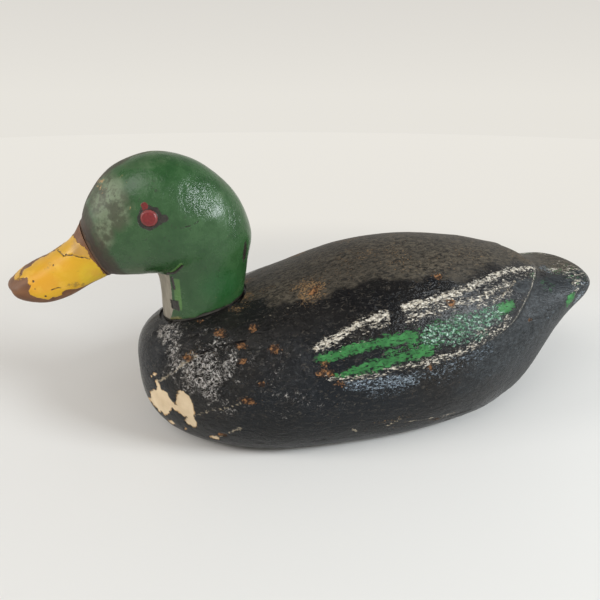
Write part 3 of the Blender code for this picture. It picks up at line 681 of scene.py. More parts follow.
def body_material():
    """Old black enamel with everything that has happened to it, and painted sheen, painted glints and painted
    shade on the lower side.
    """
    s = Shader("body_paint")
    grain = s.noise(820, 4, 0.66, (0.36, 1, 1), twist=0.6, spread=2.7)
    fine = s.noise(850, 4, 0.62, spread=2.6)
    mottle = s.noise(45, 5, 0.6, spread=2.2)
    broad = s.noise(14, 3, 0.5, spread=1.8)
    worn = s.ramp(s.total(s.field("worn"), s.times(mottle, 0.35)), 0.35, 0.95)
    painted_grey_sheen = s.ramp(s.total(s.field("painted_grey_sheen"), s.times(mottle, 0.3)), 0.4, 0.95)

    flecks = s.noise(560, 4, 0.68, (0.5, 1, 1), twist=0.8, spread=3.0)
    black = s.mix(mottle, (0.003, 0.003, 0.004), (0.010, 0.009, 0.008))
    black = s.mix(s.ramp(broad, 0.35, 0.75), black, (0.004, 0.006, 0.009))
    black = s.mix(s.times(s.ramp(flecks, 0.62, 1.15), 0.75), black, (0.075, 0.066, 0.054))
    dusty = s.mix(s.ramp(flecks, 0.1, 0.95), (0.007, 0.006, 0.005), (0.100, 0.084, 0.061))
    dusty = s.mix(s.times(s.ramp(mottle, 0.2, 0.8), 0.4), dusty, (0.040, 0.036, 0.030))
    # Painted reflection: a grey-blue tone laid where the glossy paint would mirror the bright room.
    grey_sheen_tone = s.mix(s.ramp(flecks, 0.15, 1.1), (0.003, 0.005, 0.007), (0.040, 0.048, 0.054))
    s.colour, s.rough = black, s.ramp(mottle, 0.1, 0.9, 0.17, 0.30)
    s.coat(worn, dusty, rough=0.50)
    s.coat(painted_grey_sheen, grey_sheen_tone, rough=0.38)
    # Painted shade: the lower side is darkened where less light reaches it.
    s.coat(s.field("low"), (0.002, 0.0025, 0.003), 0.8)

    tan = s.mix(s.noise(400, spread=2.4), (0.09, 0.052, 0.026), (0.42, 0.25, 0.11))
    speck = s.specks(s.field("specks"), s.noise(1000, 3, 0.66, (0.7, 1, 1), spread=2.7), 5)
    s.coat(speck, tan, 0.85, rough=0.7)

    # Painted reflection: blue-white specks under the wing stand in for the sheen of window light.
    painted_blue_sheen = s.specks(s.field("painted_blue_sheen"), s.noise(900, 4, 0.66, (0.5, 1, 1), twist=1.0, spread=2.7), 4)
    s.coat(painted_blue_sheen, s.mix(fine, (0.09, 0.13, 0.18), (0.46, 0.55, 0.63)), 0.85, rough=0.3)
    folds = s.folded(s.noise(270, twist=2.0, spread=2.3))
    ridges = s.minus(s.noise(420, spread=1.6), s.times(folds, 2.6))
    # Painted highlights: light grey specks on the wrinkled breast stand in for glints of light.
    painted_glints = s.specks(s.field("painted_glints"), s.total(ridges, 0.28), 3.2)
    s.coat(painted_glints, s.mix(fine, (0.13, 0.11, 0.09), (0.72, 0.69, 0.66)), 0.90)

    green = s.specks(s.field("green"), s.noise(760, 4, 0.68, (0.42, 1, 1), twist=0.6, spread=2.6), 4)
    leaf = s.mix(s.noise(160, 4, spread=2.2), (0.010, 0.080, 0.018), (0.048, 0.240, 0.062))
    s.coat(green, leaf)
    mint = s.specks(s.field("mint"), s.noise(700, 4, 0.68, (0.6, 1, 1), twist=0.8, spread=2.6), 3.5)
    mint_tone = s.mix(s.ramp(fine, 0.35, 0.95), (0.055, 0.20, 0.10), (0.55, 0.68, 0.62))
    s.coat(mint, mint_tone)
    cream = s.specks(s.field("cream"), grain, 4.5)
    bone = s.mix(s.ramp(fine, 0.1, 0.85), (0.26, 0.22, 0.16), (0.70, 0.66, 0.58))
    s.coat(cream, bone)
    painted = s.most(s.most(green, mint), cream)
    s.rough = s.blend(painted, s.rough, 0.5)

    scratch = s.specks(s.field("scratch"), s.noise(600, spread=2.3), 4)
    s.coat(scratch, (0.34, 0.29, 0.21), 0.8)
    edge = s.around(s.noise(650, 4, 0.68), 11.0)
    rust = s.ramp(s.total(s.field("rust"), edge), -0.3, 0.3)
    deep = s.ramp(s.noise(520, 3, 0.65, spread=2.4), 0.35, 0.85)
    s.coat(rust, s.mix(deep, (0.026, 0.013, 0.008), (0.34, 0.160, 0.062)), 0.92, rough=0.75)
    small_edge = s.around(s.noise(420, 4, 0.68), 7.0)
    chip = s.ramp(s.total(s.field("chip"), small_edge), -0.12, 0.12)
    filler = s.mix(s.noise(90, 4, 0.55, spread=2.0), (0.60, 0.46, 0.29), (0.78, 0.64, 0.45))
    filler = s.mix(s.specks(0.07, s.noise(600, spread=2.4), 5), filler, (0.30, 0.19, 0.10))
    filler = s.mix(s.ramp(s.field("chip"), 0.7, 0.0), filler, (0.50, 0.33, 0.17))
    s.coat(chip, filler, rough=0.8)
    crack = s.ramp(s.field("crack"), 0.25, 0.8)
    s.coat(crack, (0.004, 0.003, 0.003))

    crinkle = s.field("crinkle")
    height = s.weighted(
        (fine, 0.16),
        (flecks, 0.22),
        (s.noise(200, 3, 0.6, (0.35, 1, 1), twist=0.5), 2.2),
        (s.times(folds, crinkle), -4.5),
        (s.times(s.noise(130, 3, 0.5), crinkle), 5.0),
        (painted, 0.5),
        (speck, -0.3),
        (scratch, -0.3),
        (rust, -0.9),
        (chip, -1.2),
        (crack, -2.0),
    )
    return s.finish(s.colour, s.rough, height, 0.32, specular=0.24)


def head_material():
    """Green enamel: faded on the forehead, grimy by the bill, chipped at the throat and neck."""
    s = Shader("head_paint")
    mottle = s.noise(80, 5, 0.64, spread=2.3)
    broad = s.noise(20, 3, 0.5, spread=2.0)
    fine = s.noise(700, 4, spread=2.4)
    s.colour = s.mix(mottle, (0.009, 0.050, 0.011), (0.040, 0.106, 0.036))
    s.coat(s.ramp(broad, 0.3, 0.9), (0.026, 0.080, 0.024), 0.6)
    s.coat(s.field("deep"), (0.012, 0.078, 0.018))
    s.rough = s.ramp(mottle, 0.1, 0.9, 0.20, 0.31)

    faded = s.ramp(s.total(s.field("faded"), s.around(mottle, 0.5)), 0.25, 1.0)
    olive = s.ramp(s.noise(120, 5, 0.65, spread=2.3), 0.3, 0.7)
    olive = s.mix(olive, (0.060, 0.062, 0.036), (0.165, 0.205, 0.125))
    s.coat(faded, olive, 0.85, rough=0.55)
    grime = s.ramp(s.total(s.field("grime"), s.around(mottle, 0.6)), 0.3, 0.9)
    s.coat(grime, s.mix(fine, (0.022, 0.018, 0.011), (0.060, 0.047, 0.030)), 0.85, rough=0.6)
    dab = s.specks(s.field("dabs"), s.noise(420, spread=2.4), 5)
    s.coat(dab, (0.018, 0.026, 0.014), 0.62)
    tan = s.specks(s.field("tan"), s.noise(520, spread=2.4), 6)
    s.coat(tan, (0.42, 0.26, 0.11))

    root = s.field("root")
    ragged = s.around(s.noise(180, 4), 5.0)
    band = s.ramp(s.total(root, ragged), 8.0, 4.0)
    ochre = s.ramp(s.total(root, s.times(ragged, 0.8)), 1.6, 0.6)
    s.coat(band, s.mix(mottle, (0.020, 0.013, 0.009), (0.052, 0.032, 0.020)), 0.92)
    s.coat(ochre, s.mix(mottle, (0.045, 0.024, 0.014), (0.16, 0.085, 0.045)))
    bright = s.ramp(s.field("bright"), 0.2, 0.7)
    s.coat(bright, s.mix(mottle, (0.060, 0.150, 0.038), (0.100, 0.215, 0.060)))
    moss = s.ramp(s.total(s.field("moss"), s.around(fine, 0.4)), 0.35, 0.75)
    s.coat(moss, s.mix(fine, (0.06, 0.055, 0.010), (0.24, 0.22, 0.07)), 0.8)
    edge = s.around(s.noise(500, 4), 1.6)
    bare = s.ramp(s.total(s.field("bare"), edge), -0.2, 0.2)
    primer = s.mix(s.noise(300, 4, 0.6, (1, 1, 0.2), spread=2.2), (0.20, 0.18, 0.14), (0.44, 0.40, 0.33))
    stains = s.specks(0.12, s.noise(330, 3, 0.6, (1, 1, 0.3), spread=2.4), 4)
    primer = s.mix(stains, primer, (0.035, 0.028, 0.022))
    s.coat(bare, primer, rough=0.7)
    dark = s.ramp(s.total(s.field("dark"), edge), -0.25, 0.25)
    s.coat(dark, s.mix(fine, (0.012, 0.011, 0.009), (0.034, 0.030, 0.024)))
    red = s.ramp(s.total(s.field("red"), s.times(edge, 0.5)), -0.15, 0.15)
    s.coat(red, s.mix(fine, (0.10, 0.010, 0.010), (0.20, 0.022, 0.020)))

    wrinkle = s.folded(s.noise(230, 4, 0.6, (1, 1, 0.7), twist=1.4, spread=2.2))
    height = s.weighted(
        (fine, 0.13),
        (s.times(wrinkle, s.field("wrinkle")), -1.5),
        (s.noise(150, 4, 0.6, (1, 1, 0.6)), 1.5),
        (bare, -0.8),
        (dark, -0.6),
        (ochre, -0.6),
        (bright, 0.2),
        (red, 0.3),
    )
    return s.finish(s.colour, s.rough, height, 0.30)


def bill_material():
    """Yellow enamel that has come off the tip and edges of red-brown wood."""
    s = Shader("bill_paint")
    mottle = s.noise(90, 4, spread=2.2)
    fine = s.noise(800, 4, spread=2.0)
    edge = s.around(s.noise(480, 4, 0.62), 2.4)
    paint = s.ramp(s.total(s.field("paint"), edge), -0.12, 0.12)
    wood = s.mix(s.noise(260, 5, 0.6, (0.25, 1, 1), spread=2.4), (0.100, 0.036, 0.012), (0.205, 0.088, 0.034))
    wood = s.mix(s.ramp(s.noise(60, 3, 0.5, spread=2.0), 0.3, 0.9), wood, (0.145, 0.062, 0.024))
    yellow = s.mix(s.ramp(s.field("orange"), 0.1, 0.9), (0.61, 0.335, 0.006), (0.63, 0.300, 0.013))
    yellow = s.mix(s.ramp(mottle, 0.55, 1.0), yellow, (0.67, 0.375, 0.030))
    yellow = s.mix(s.times(s.ramp(s.field("lemon"), 0.1, 0.9), 0.8), yellow, (0.62, 0.42, 0.010))
    yellow = s.mix(s.times(s.ramp(mottle, 0.4, 0.0), 0.5), yellow, (0.60, 0.29, 0.012))
    ochre = s.ramp(s.total(s.field("ochre"), s.times(edge, 3.0)), -1.8, 2.2)
    yellow = s.mix(s.times(ochre, 0.9), yellow, s.mix(mottle, (0.34, 0.18, 0.035), (0.52, 0.29, 0.055)))
    stain = s.specks(s.field("stain"), s.noise(300, 4, 0.65, spread=2.4), 3)
    yellow = s.mix(s.times(stain, 0.7), yellow, (0.22, 0.13, 0.022))
    colour = s.mix(paint, wood, yellow)
    mark = s.ramp(s.total(s.field("mark"), s.times(edge, 0.5)), -0.15, 0.2)
    colour = s.mix(mark, colour, (0.060, 0.030, 0.012))
    rough = s.blend(paint, 0.58, s.ramp(mottle, 0.0, 1.0, 0.36, 0.5))
    height = s.weighted(
        (paint, 0.9),
        (fine, 0.10),
        (s.noise(220, 4), 0.5),
        (mark, -0.9),
    )
    return s.finish(colour, rough, height, 0.28)


def eye_material():
    """Red paint over the eye's dome, with a painted highlight ring near its edge and a dark line round its
    rim.
    """
    s = Shader("eye_paint")
    fine = s.noise(900, 4, spread=2.2)
    red = s.mix(fine, (0.12, 0.006, 0.008), (0.21, 0.016, 0.018))
    # Painted highlight: a lighter pink ring near the dome's edge.
    colour = s.mix(s.times(s.ramp(s.field("rim"), 0.2, 0.8), 0.55), red, (0.26, 0.070, 0.065))
    colour = s.mix(s.field("outer"), colour, (0.018, 0.014, 0.010))
    height = s.noise(420, 4)
    return s.finish(colour, s.ramp(fine, 0.0, 1.0, 0.30, 0.46), height, 0.25)


def metal_material(name, bright, dull, rust, amount, rough=0.4):
    """Weathered metal: bright where it rubs, dull elsewhere, with spots of corrosion."""
    s = Shader(name)
    mottle = s.noise(260, 5, 0.65, spread=2.2)
    fine = s.noise(1500, spread=2.0)
    spot = s.specks(amount, s.noise(420, 4, spread=2.4), 4)
    colour = s.mix(s.ramp(mottle, 0.3, 0.8), bright, dull)
    colour = s.mix(spot, colour, s.mix(fine, rust, tuple(0.4 * c for c in rust)))
    roughness = s.blend(spot, s.ramp(mottle, 0.0, 1.0, rough - 0.08, rough + 0.16), 0.85)
    height = s.weighted((fine, 0.3), (spot, 0.6), (mottle, 0.4))
    return s.finish(colour, roughness, height, 0.08, metallic=s.minus(1.0, s.times(spot, 0.8)))


def seam_material():
    s = Shader("seam_compound")
    grain = s.noise(700, 4, spread=2.2)
    colour = s.mix(grain, (0.010, 0.010, 0.010), (0.030, 0.026, 0.020))
    return s.finish(colour, 0.6, grain, 0.12)


# ---------------- pieces
def on_bolt(below=0.0):
    axis = Vector((math.sin(BOLT_TILT), 0, math.cos(BOLT_TILT)))
    place = Vector((SEAT_X, 0, SEAT_Z)) - axis * below
    return Matrix.Translation(place) @ Matrix.Rotation(BOLT_TILT, 4, "Y")


def bolt_bore():
    hole = BOLT_RADIUS + BORE_PLAY
    deep = COUNTERBORE_START + 40
    profile = [(0, 30), (SEAT_RADIUS, 30), (SEAT_RADIUS, 0), (hole, 0), (hole, -COUNTERBORE_START),
               (COUNTERBORE_RADIUS, -COUNTERBORE_START), (COUNTERBORE_RADIUS, -deep), (0, -deep)]
    return turned("bolt_bore", profile, 72, on_bolt())


def tie_bore():
    profile = [(0, TIE_HOLE_TOP), (TIE_HOLE_RADIUS, TIE_HOLE_TOP), (TIE_HOLE_RADIUS, TIE_RECESS_TOP),
               (TIE_RECESS_RADIUS, TIE_RECESS_TOP), (TIE_RECESS_RADIUS, -2), (0, -2)]
    return turned("tie_bore", profile, 56, Matrix.Translation((TIE_X, 0, 0)))


def screw_bore(x, y):
    """Room for a board screw, as in the CAD: a countersunk head and a shank."""
    foot = float(section_lines(np.array([float(x)]))[3][0]) + BORE_PLAY
    head, shank = SCREW_HEAD_RADIUS, SCREW_SHANK_RADIUS
    profile = [(0, -3), (head, -3), (head, 0), (shank, SCREW_HEAD_DEPTH), (shank, SCREW_LENGTH),
               (0, SCREW_LENGTH)]
    return turned("screw_bore", profile, 24, Matrix.Translation((x, y, foot)))


class Chart:
    """Where each point of the body lies, in the terms that the tables of marks use."""

    def __init__(self, places):
        self.places = places
        self.x, y, z = places.T
        self.way, self.off = way_round(self.x, y, z)
        right = y < 0
        self.warp = fractal(places, 9, 3, 5)
        self.u = self.x + np.where(right, 6.0, 0.0) + 1.2 * self.warp
        self.w = self.way + np.where(right, 0.012, 0.0) + 0.010 * fractal(places, 9, 3, 6)
        self.rough_u = self.u + 0.8 * noise(places, 2.2, 8)
        self.rough_w = self.w + 0.006 * noise(places, 2.2, 9)
        round_breast = BREAST_RADIUS * np.arctan2(np.abs(y), self.x - BREAST_AXIS_X)
        self.breast_u = round_breast + 0.9 * noise(places, 3.2, 11) + np.where(right, 9.0, 0.0)
        self.breast_v = z + 0.9 * noise(places, 3.2, 12) - np.where(right, 4.0, 0.0)


def chip_depth(chart):
    """How far inside a chip each point lies."""
    depth = np.full(len(chart.x), NOWHERE)
    near = chart.x > 60
    for corners in CHIPS:
        inside = polygon_depth(chart.breast_u[near], chart.breast_v[near], corners)
        depth[near] = np.maximum(depth[near], inside)
    return depth


def dent_depth(chart):
    """How far inside a brown dent each point lies."""
    depth = np.full(len(chart.x), NOWHERE)
    for x, way, radius in DINGS:
        away = np.hypot((chart.u - x) * 0.85, (chart.w - way) * WAY_MM)
        depth = np.maximum(depth, 0.85 * radius - away)
    return depth + 1.1 * fractal(chart.places, 3.5, 2, 21)


def body_tones(chart):
    """Shares of dusty wear, painted grey sheen and tan specks in the black paint."""
    x, way, places = chart.x, chart.way, chart.places
    worn = ease(worn_limit(x) + 0.05 * chart.warp - chart.w, -0.06, 0.09)
    behind_wing = ease(wing_edge(np.minimum(way, 1)) - x, -1.5, 2.5)
    behind_wing = behind_wing * ease(-30 - x, 0, 90) * ease(1.0 - way, -0.3, 0.05)
    # Painted grey sheen: a lighter grey-blue behind the wing, on the tail and on the rear sides stands in for
    # reflected light.
    painted_grey_sheen = most(
        behind_wing * ease(way, 0.3, 0.55),
        0.8 * ease(-95 - x, 0, 30) * ease(way, 0.55, 0.9),
        0.9 * patches(chart.u, chart.w, [(-128, 0.50, 16, 0.07, 1.0)]),
        0.45 * ease(-20 - x, 0, 60) * ease(way, 0.85, 1.1),
    )
    specks = most(
        patches(chart.rough_u, chart.rough_w, SPECK_PATCHES) * ease(fractal(places, 8, 3, 33), -0.7, 0.2),
        0.30 * worn * ease(fractal(places, 30, 3, 31), -0.5, 0.5),
        0.15 * ease(fractal(places, 24, 3, 32), -0.1, 0.5),
    )
    return worn, painted_grey_sheen, specks * (1 - 0.7 * behind_wing)


def wing_paint(chart):
    """Shares of cream, green and mint paint on the wing and the tail, and of the painted blue-white sheen."""
    u, w = chart.rough_u, chart.rough_w
    rim = wing_edge(np.minimum(chart.w, 1)) - chart.u
    at_rim = ease(3.6 - np.abs(rim + 2.8), 0, 3.0) * ease(chart.w, 0.30, 0.40) * ease(0.84 - chart.w, 0, 0.06)
    cream = most(
        streaks(u, w, CREAM_STREAKS) * (1 - ease(5.0 - from_line(u, w, CREAM_GAP), 0, 2.5)),
        0.62 * at_rim,
        patches(u, w, TAIL_CREAM),
    )
    green = most(
        streaks(u, w, GREEN_STREAKS) * (1 - ease(4.2 - from_line(u, w, GREEN_HOLE), 0, 2)),
        patches(u, w, TAIL_GREEN),
    )
    painted_blue_sheen = most(streaks(u, w, PAINTED_SHEEN_STREAKS, 3.5), patches(u, w, TAIL_BLUE))
    return cream, green, streaks(u, w, MINT_STREAKS, 3.5), painted_blue_sheen


def wrinkles(chart, chip, painted_blue_sheen):
    """How glossy and wrinkled the paint is, and the share of painted glints on it."""
    crinkle = patches(chart.u, chart.w, CRINKLES, 1.0)
    for u, v, radius in BLACK_PATCHES:
        crinkle = crinkle * ease(np.hypot(chart.breast_u - u, chart.breast_v - v) / radius, 0.7, 1.25)
    crinkle = crinkle * ease(fractal(chart.places, 14, 2, 41), -0.8, 0.0) * ease(-chip, -0.5, 2.0)
    # Painted glints, a share of the wrinkled area.
    painted_glints = 0.66 * crinkle * ease(fractal(chart.places, 9, 3, 42), -0.8, 0.3)
    return most(crinkle, 0.7 * ease(painted_blue_sheen, 0.05, 0.4), 0.12), painted_glints


def body_fields(places):
    """Every field of marks on the body's skin, and how far each vertex moves out along its normal."""
    chart = Chart(places)
    chip, rust = chip_depth(chart), dent_depth(chart)
    worn, painted_grey_sheen, specks = body_tones(chart)
    cream, green, mint, painted_blue_sheen = wing_paint(chart)
    crinkle, painted_glints = wrinkles(chart, chip, painted_blue_sheen)
    crack = ease(1.3 - from_line(chart.u, chart.w, CRACK), 0, 1.2)
    scratch = most(*(amount * ease(half + 1.3 - from_line(chart.rough_u, chart.rough_w, line), 0, 1.7)
                     for line, half, amount in SCRATCHES))
    rise = 0.35 * fractal(places, 38, 2, 51) + 0.12 * fractal(places, 7, 3, 52)
    rise = rise + crinkle * 0.55 * fractal(places, 4.5, 3, 53)
    rise = rise - 0.45 * ease(chip, -0.4, 0.4) - 0.55 * ease(rust, -0.3, 1.4) - 0.9 * crack
    rise = rise + 0.10 * ease(cream + green + mint, 0.2, 1.0)
    # Painted shade on the lower side, from the widest line down.
    low = ease(chart.way, 1.0, 1.45)
    shares = dict(worn=worn, painted_grey_sheen=painted_grey_sheen, low=low, specks=specks, cream=cream, green=green, mint=mint,
                  painted_blue_sheen=painted_blue_sheen, crinkle=crinkle, painted_glints=painted_glints, crack=crack, scratch=scratch)
    on_skin = ease(0.6 - chart.off, 0, 0.4)
    fields = {name: share * on_skin for name, share in shares.items()}
    for name, depth in (("chip", chip), ("rust", rust)):
        fields[name] = NOWHERE + (depth - NOWHERE) * on_skin
    return fields, rise * ease(0.25 - chart.off, 0, 0.2)


def body_shell(name, points, faces, keep_above):
    """The part of the body's outer shape above or below the bottom board's top, with its bores."""
    thing = put_mesh(name, points, faces)
    slice_mesh(thing, BOARD_TOP + (BOARD_GAP if keep_above else 0), keep_above)
    cutters = [bolt_bore(), tie_bore()]
    if not keep_above:
        cutters.append(box_solid("pocket", (BALLAST_X - BALLAST_HALF_LENGTH, -BALLAST_HALF_WIDTH, -1),
                                 (BALLAST_X + BALLAST_HALF_LENGTH, BALLAST_HALF_WIDTH, BALLAST_TOP)))
        cutters += [screw_bore(x, side * half) for x, half in BOARD_SCREWS for side in (1, -1)]
    carve(thing, *cutters)
    return thing


def build_shell(material):
    """The body down to the bottom board, and the board, each with its marks."""
    ends = (TAIL_X, 0, float(beam_z(TAIL_X))), (BREAST_X, 0, float(beam_z(BREAST_X)))
    points, faces = grid_mesh(body_rings(), *ends)
    for name, node, slot in (("painted_body", "body", "body_paint"),
                             ("painted_board", "bottom_board", "board_paint")):
        above = node == "body"
        thing = body_shell(name, points, faces, above)
        places, _ = vertex_arrays(thing)
        fields, rise = body_fields(places)
        cut = BOARD_TOP + (BOARD_GAP if above else 0)
        rise = rise * ease(np.abs(places[:, 2] - cut), 0.02, 1.5) * ease(places[:, 2], 0.05, 1.5)
        near_neck = np.hypot(places[:, 0] - SEAT_X, places[:, 1]) < SEAT_RADIUS + 1.5
        rise = np.where(near_neck & (places[:, 2] > 60), np.minimum(rise, 0), rise)
        if not above:
            rub = ease(2.5 - places[:, 2], 0, 2.2) * ease(fractal(places, 18, 4, 61), -0.15, 0.35)
            fields["specks"] = np.maximum(fields["specks"], 0.75 * rub)
        finish_piece(thing, "hull", material, node, fields, rise)


def smooth_rings(rings, count):
    steps = np.linspace(0, len(rings) - 1, count + 1)
    return np.stack([smooth(list(enumerate(column)))(steps) for column in zip(*rings)], axis=-1)


def ring_points(rings, count, square):
    """Superellipse sections across the lines from throat points to crown points."""
    turn = np.arange(count) * 2 * math.pi / count
    across, along = np.sin(turn), -np.cos(turn)
    share = 0.5 + 0.5 * np.sign(along) * np.abs(along) ** (2 / square)
    out = np.sign(across) * np.abs(across) ** (2 / square)
    throat_x, throat_z, crown_x, crown_z, half = (column[:, None] for column in rings.T)
    x = throat_x + (crown_x - throat_x) * share
    z = throat_z + (crown_z - throat_z) * share
    return np.stack([x, half * out, z], axis=-1)


def neck_foot():
    tilt = BOLT_TILT
    mx, mz = SEAT_X + math.sin(tilt) * NECK_GAP, SEAT_Z + math.cos(tilt) * NECK_GAP
    rx, rz = math.cos(tilt) * NECK_HALF_LENGTH, -math.sin(tilt) * NECK_HALF_LENGTH
    return (mx + rx, mz + rz, mx - rx, mz - rz, NECK_HALF_WIDTH)


def root_distance(x, z):
    """Distance behind the plane where the bill starts."""
    tx, tz, cx, cz, _ = HEAD_RINGS[-1]
    length = math.hypot(cx - tx, cz - tz)
    return (-(x - tx) * (cz - tz) + (z - tz) * (cx - tx)) / length


def spot(x, z, cx, cz, rx, rz):
    """1 at a spot's middle, falling to 0 at its edge."""
    return ease(1.3 - np.hypot((x - cx) / rx, (z - cz) / rz), 0, 1.0)


def head_tones(places, u, v, root):
    """Shares of faded, grimy, dabbed, bare and deep green paint on the head."""
    x, y, z = places.T
    faded = most(
        0.95 * most(spot(u, v, 144, 164, 17, 19), spot(u, v, 150, 148, 9, 13)),
        0.42 * ease(v, 176, 188) * ease(u, 84, 110),
        0.9 * ease(10 - np.abs(y), 0, 9) * ease(v, 150, 165) * ease(x, 95, 120),
        0.5 * ease(v, 150, 175) * ease(90 - u, 0, 14),
        0.5 * spot(u, v, 134, 120, 24, 8),
    )
    grime = most(
        0.9 * ease(14 - np.abs(y), 0, 10) * ease(x, 120, 140) * ease(v, 150, 170),
        0.85 * ease(15.0 - root, 0, 7),
        0.6 * ease(121 - v, 0, 5) * ease(x, 118, 126),
    )
    dabs = most(
        0.32 * most(spot(u, v, 141, 165, 16, 18), spot(u, v, 124, 178, 14, 9)),
        0.55 * spot(u, v, 117, 171, 2.6, 2.2),
        0.22 * spot(u, v, 100, 152, 24, 16),
        0.20 + 0.12 * fractal(places, 22, 3, 78),
    )
    tan = most(
        0.45 * spot(x, z, 149, 174, 4.5, 5.5) + 0.25 * spot(x, z, 136, 178, 5, 3),
        0.3 * spot(x, z, 132, 163, 4, 3),
    )
    return dict(faded=faded, grime=grime, dabs=dabs, tan=tan, deep=0.8 * spot(u, v, 84, 108, 15, 13))


def head_marks(places, u, v, warp, lean):
    """Black, bare, bright green, mossy and red marks on the head."""
    x, _, z = places.T
    dark = most(
        7.0 + 1.3 * fractal(places, 4, 2, 75) - np.hypot(x - 122.6, z - 157.2),
        2.2 - line_distance(x, z, EYE_SMEAR),
        0.5 - line_distance(u, v, CHEEK_LINE) * 1.6,
        1.6 - np.hypot((x - 65.3 - (134 - z) * 0.1) * 1.2, (z - 128) * 0.22),
        1.7 + 0.7 * noise(places, 6, 76) - lean,
        polygon_depth(x, z, NECK_PATCH),
        0.8 - line_distance(x, z, THROAT_LINE),
        0.9 - line_distance(x, z, JAW_LINE),
    )
    bare = np.minimum(x - 115.2 + 0.6 * warp, 116.5 - z) - 0.35 * np.maximum(0, 92 - z)
    bright = most(
        ease(1.4 - np.abs(x - 111.4) / 2.0, 0, 0.8) * ease(116 - z, 0, 3) * ease(z, 90, 94),
        0.9 * ease(1.6 - line_distance(x, z, JAW_GREEN), 0, 1),
    )
    moss = most(ease(5.5 - lean, 0, 4) * ease(x, 106, 113), 0.45 * ease(4.0 - lean, 0, 3))
    red = most(2.0 - np.hypot(x - 124.8, z - 164.0), 1.2 - line_distance(x, z, EYE_RUN))
    return dict(dark=dark, bare=bare, bright=bright, moss=moss, red=red)


def head_fields(places):
    """Every field of marks on the head, and how far each vertex moves out along its normal."""
    x, y, z = places.T
    right = y < 0
    warp = fractal(places, 12, 3, 71)
    u = x + 1.2 * warp + np.where(right, 2.0 * noise(places, 30, 73), 0)
    v = z + 1.2 * fractal(places, 12, 3, 72) + np.where(right, 2.0 * noise(places, 30, 74), 0)
    root = root_distance(x, z)
    lean = (x - SEAT_X) * math.sin(BOLT_TILT) + (z - SEAT_Z) * math.cos(BOLT_TILT)
    wrinkle = most(
        spot(u, v, 92, 168, 17, 15),
        0.75 * spot(u, v, 72, 150, 8, 22),
        0.5 * spot(u, v, 112, 172, 16, 12),
    )
    marks = head_marks(places, u, v, warp, lean)
    fields = dict(root=root, wrinkle=wrinkle, **head_tones(places, u, v, root), **marks)
    clear_of_eye = np.hypot(x - EYE_PLACE[0], z - EYE_PLACE[2]) > 9
    rise = 0.45 * fractal(places, 30, 2, 81) + 0.12 * fractal(places, 8, 3, 82)
    rise = rise + wrinkle * 0.20 * fractal(places, 4.5, 3, 83)
    rise = rise - 0.25 * ease(marks["bare"], -0.4, 0.5) - 0.3 * ease(marks["dark"], -0.4, 0.6) * clear_of_eye
    rise = rise - 0.2 * ease(4 - root, 0, 1.5)
    return fields, rise * ease(lean, 0.35, 2.5) * ease(root, 0.1, 1.0)


def build_head(material):
    rings = smooth_rings([neck_foot()] + HEAD_RINGS, HEAD_SECTIONS)
    head = put_mesh("painted_head", *grid_mesh(ring_points(rings, HEAD_SIDES, HEAD_SQUARE)))
    fields, rise = head_fields(vertex_arrays(head)[0])
    finish_piece(head, "turning_head", material, "head", fields, rise)


def bill_fields(places):
    """Every field of marks on the bill, and how far each vertex moves out along its normal."""
    x, y, z = places.T
    u = x + 0.55 * noise(places, 2.4, 91) + np.where(y < 0, 1.5, 0)
    v = z + 0.55 * noise(places, 2.4, 92)
    paint = polygon_depth(u, v, YELLOW)
    paint = paint + 2.6 * fractal(places, 9, 3, 94) * ease(13 - np.abs(y), 0, 5) * ease(z, 118, 124)
    paint = most(paint, 1.9 - np.hypot((x - 205.5) * 0.6, z - 121.8))
    paint = paint - 3 * ease(3.0 - (z - 101), -6, 0) * ease(8 - np.abs(y), 0, 4)
    dots = (0.75 * radius - np.hypot(x - cx, z - cz) for cx, cz, radius in BILL_MARKS)
    mark = most(0.3 - line_distance(u, v, BILL_CRACK), 0.3 - line_distance(x, z, BILL_NICK), *dots)
    fields = {
        "paint": paint,
        "ochre": polygon_depth(u, v, OCHRE),
        "mark": mark,
        "orange": most(spot(x, z, 189, 119, 12, 8), 0.6 * spot(x, z, 180, 128, 14, 6)),
        "lemon": spot(x, z, 160, 119, 10, 12),
        "stain": 0.5 * spot(x, z, 170, 114, 7, 5) + 0.25 * spot(x, z, 183, 128, 6, 4) + 0.12,
    }
    rise = 0.25 * fractal(places, 22, 2, 97) + 0.10 * fractal(places, 5, 3, 98) - 0.28
    return fields, rise + 0.28 * ease(paint, -0.25, 0.25) - 0.3 * ease(mark, -0.2, 0.3)


def build_bill(material):
    throat_x, throat_z, crown_x, crown_z, half = HEAD_RINGS[-1]
    length = math.hypot(crown_x - throat_x, crown_z - throat_z)
    gap = np.array([crown_z - throat_z, throat_x - crown_x]) / length * BILL_GAP
    first = (throat_x + gap[0], throat_z + gap[1], crown_x + gap[0], crown_z + gap[1], half)
    rings = smooth_rings([first] + BILL_RINGS, BILL_SECTIONS)
    last = rings[-1]
    middle = np.array([(last[0] + last[2]) / 2, (last[1] + last[3]) / 2] * 2 + [0])
    ahead = np.array([1, 0, 1, 0, 0]) * (BILL_TIP_X - middle[0])
    tip = [middle + (last - middle) * math.sqrt(1 - t * t) + ahead * t
           for t in np.linspace(0, 1, BILL_TIP_SECTIONS)[1:-1]]
    rings = ring_points(np.concatenate([rings, tip]), BILL_SIDES, BILL_SQUARE)
    bill = put_mesh("painted_bill", *grid_mesh(rings, end=(BILL_TIP_X, 0, middle[1])))
    places, _ = vertex_arrays(bill)
    fields, rise = bill_fields(places)
    rise = rise * ease(-root_distance(places[:, 0], places[:, 2]), BILL_GAP + 0.01, 1.2)
    finish_piece(bill, "turning_head", material, "bill", fields, rise)


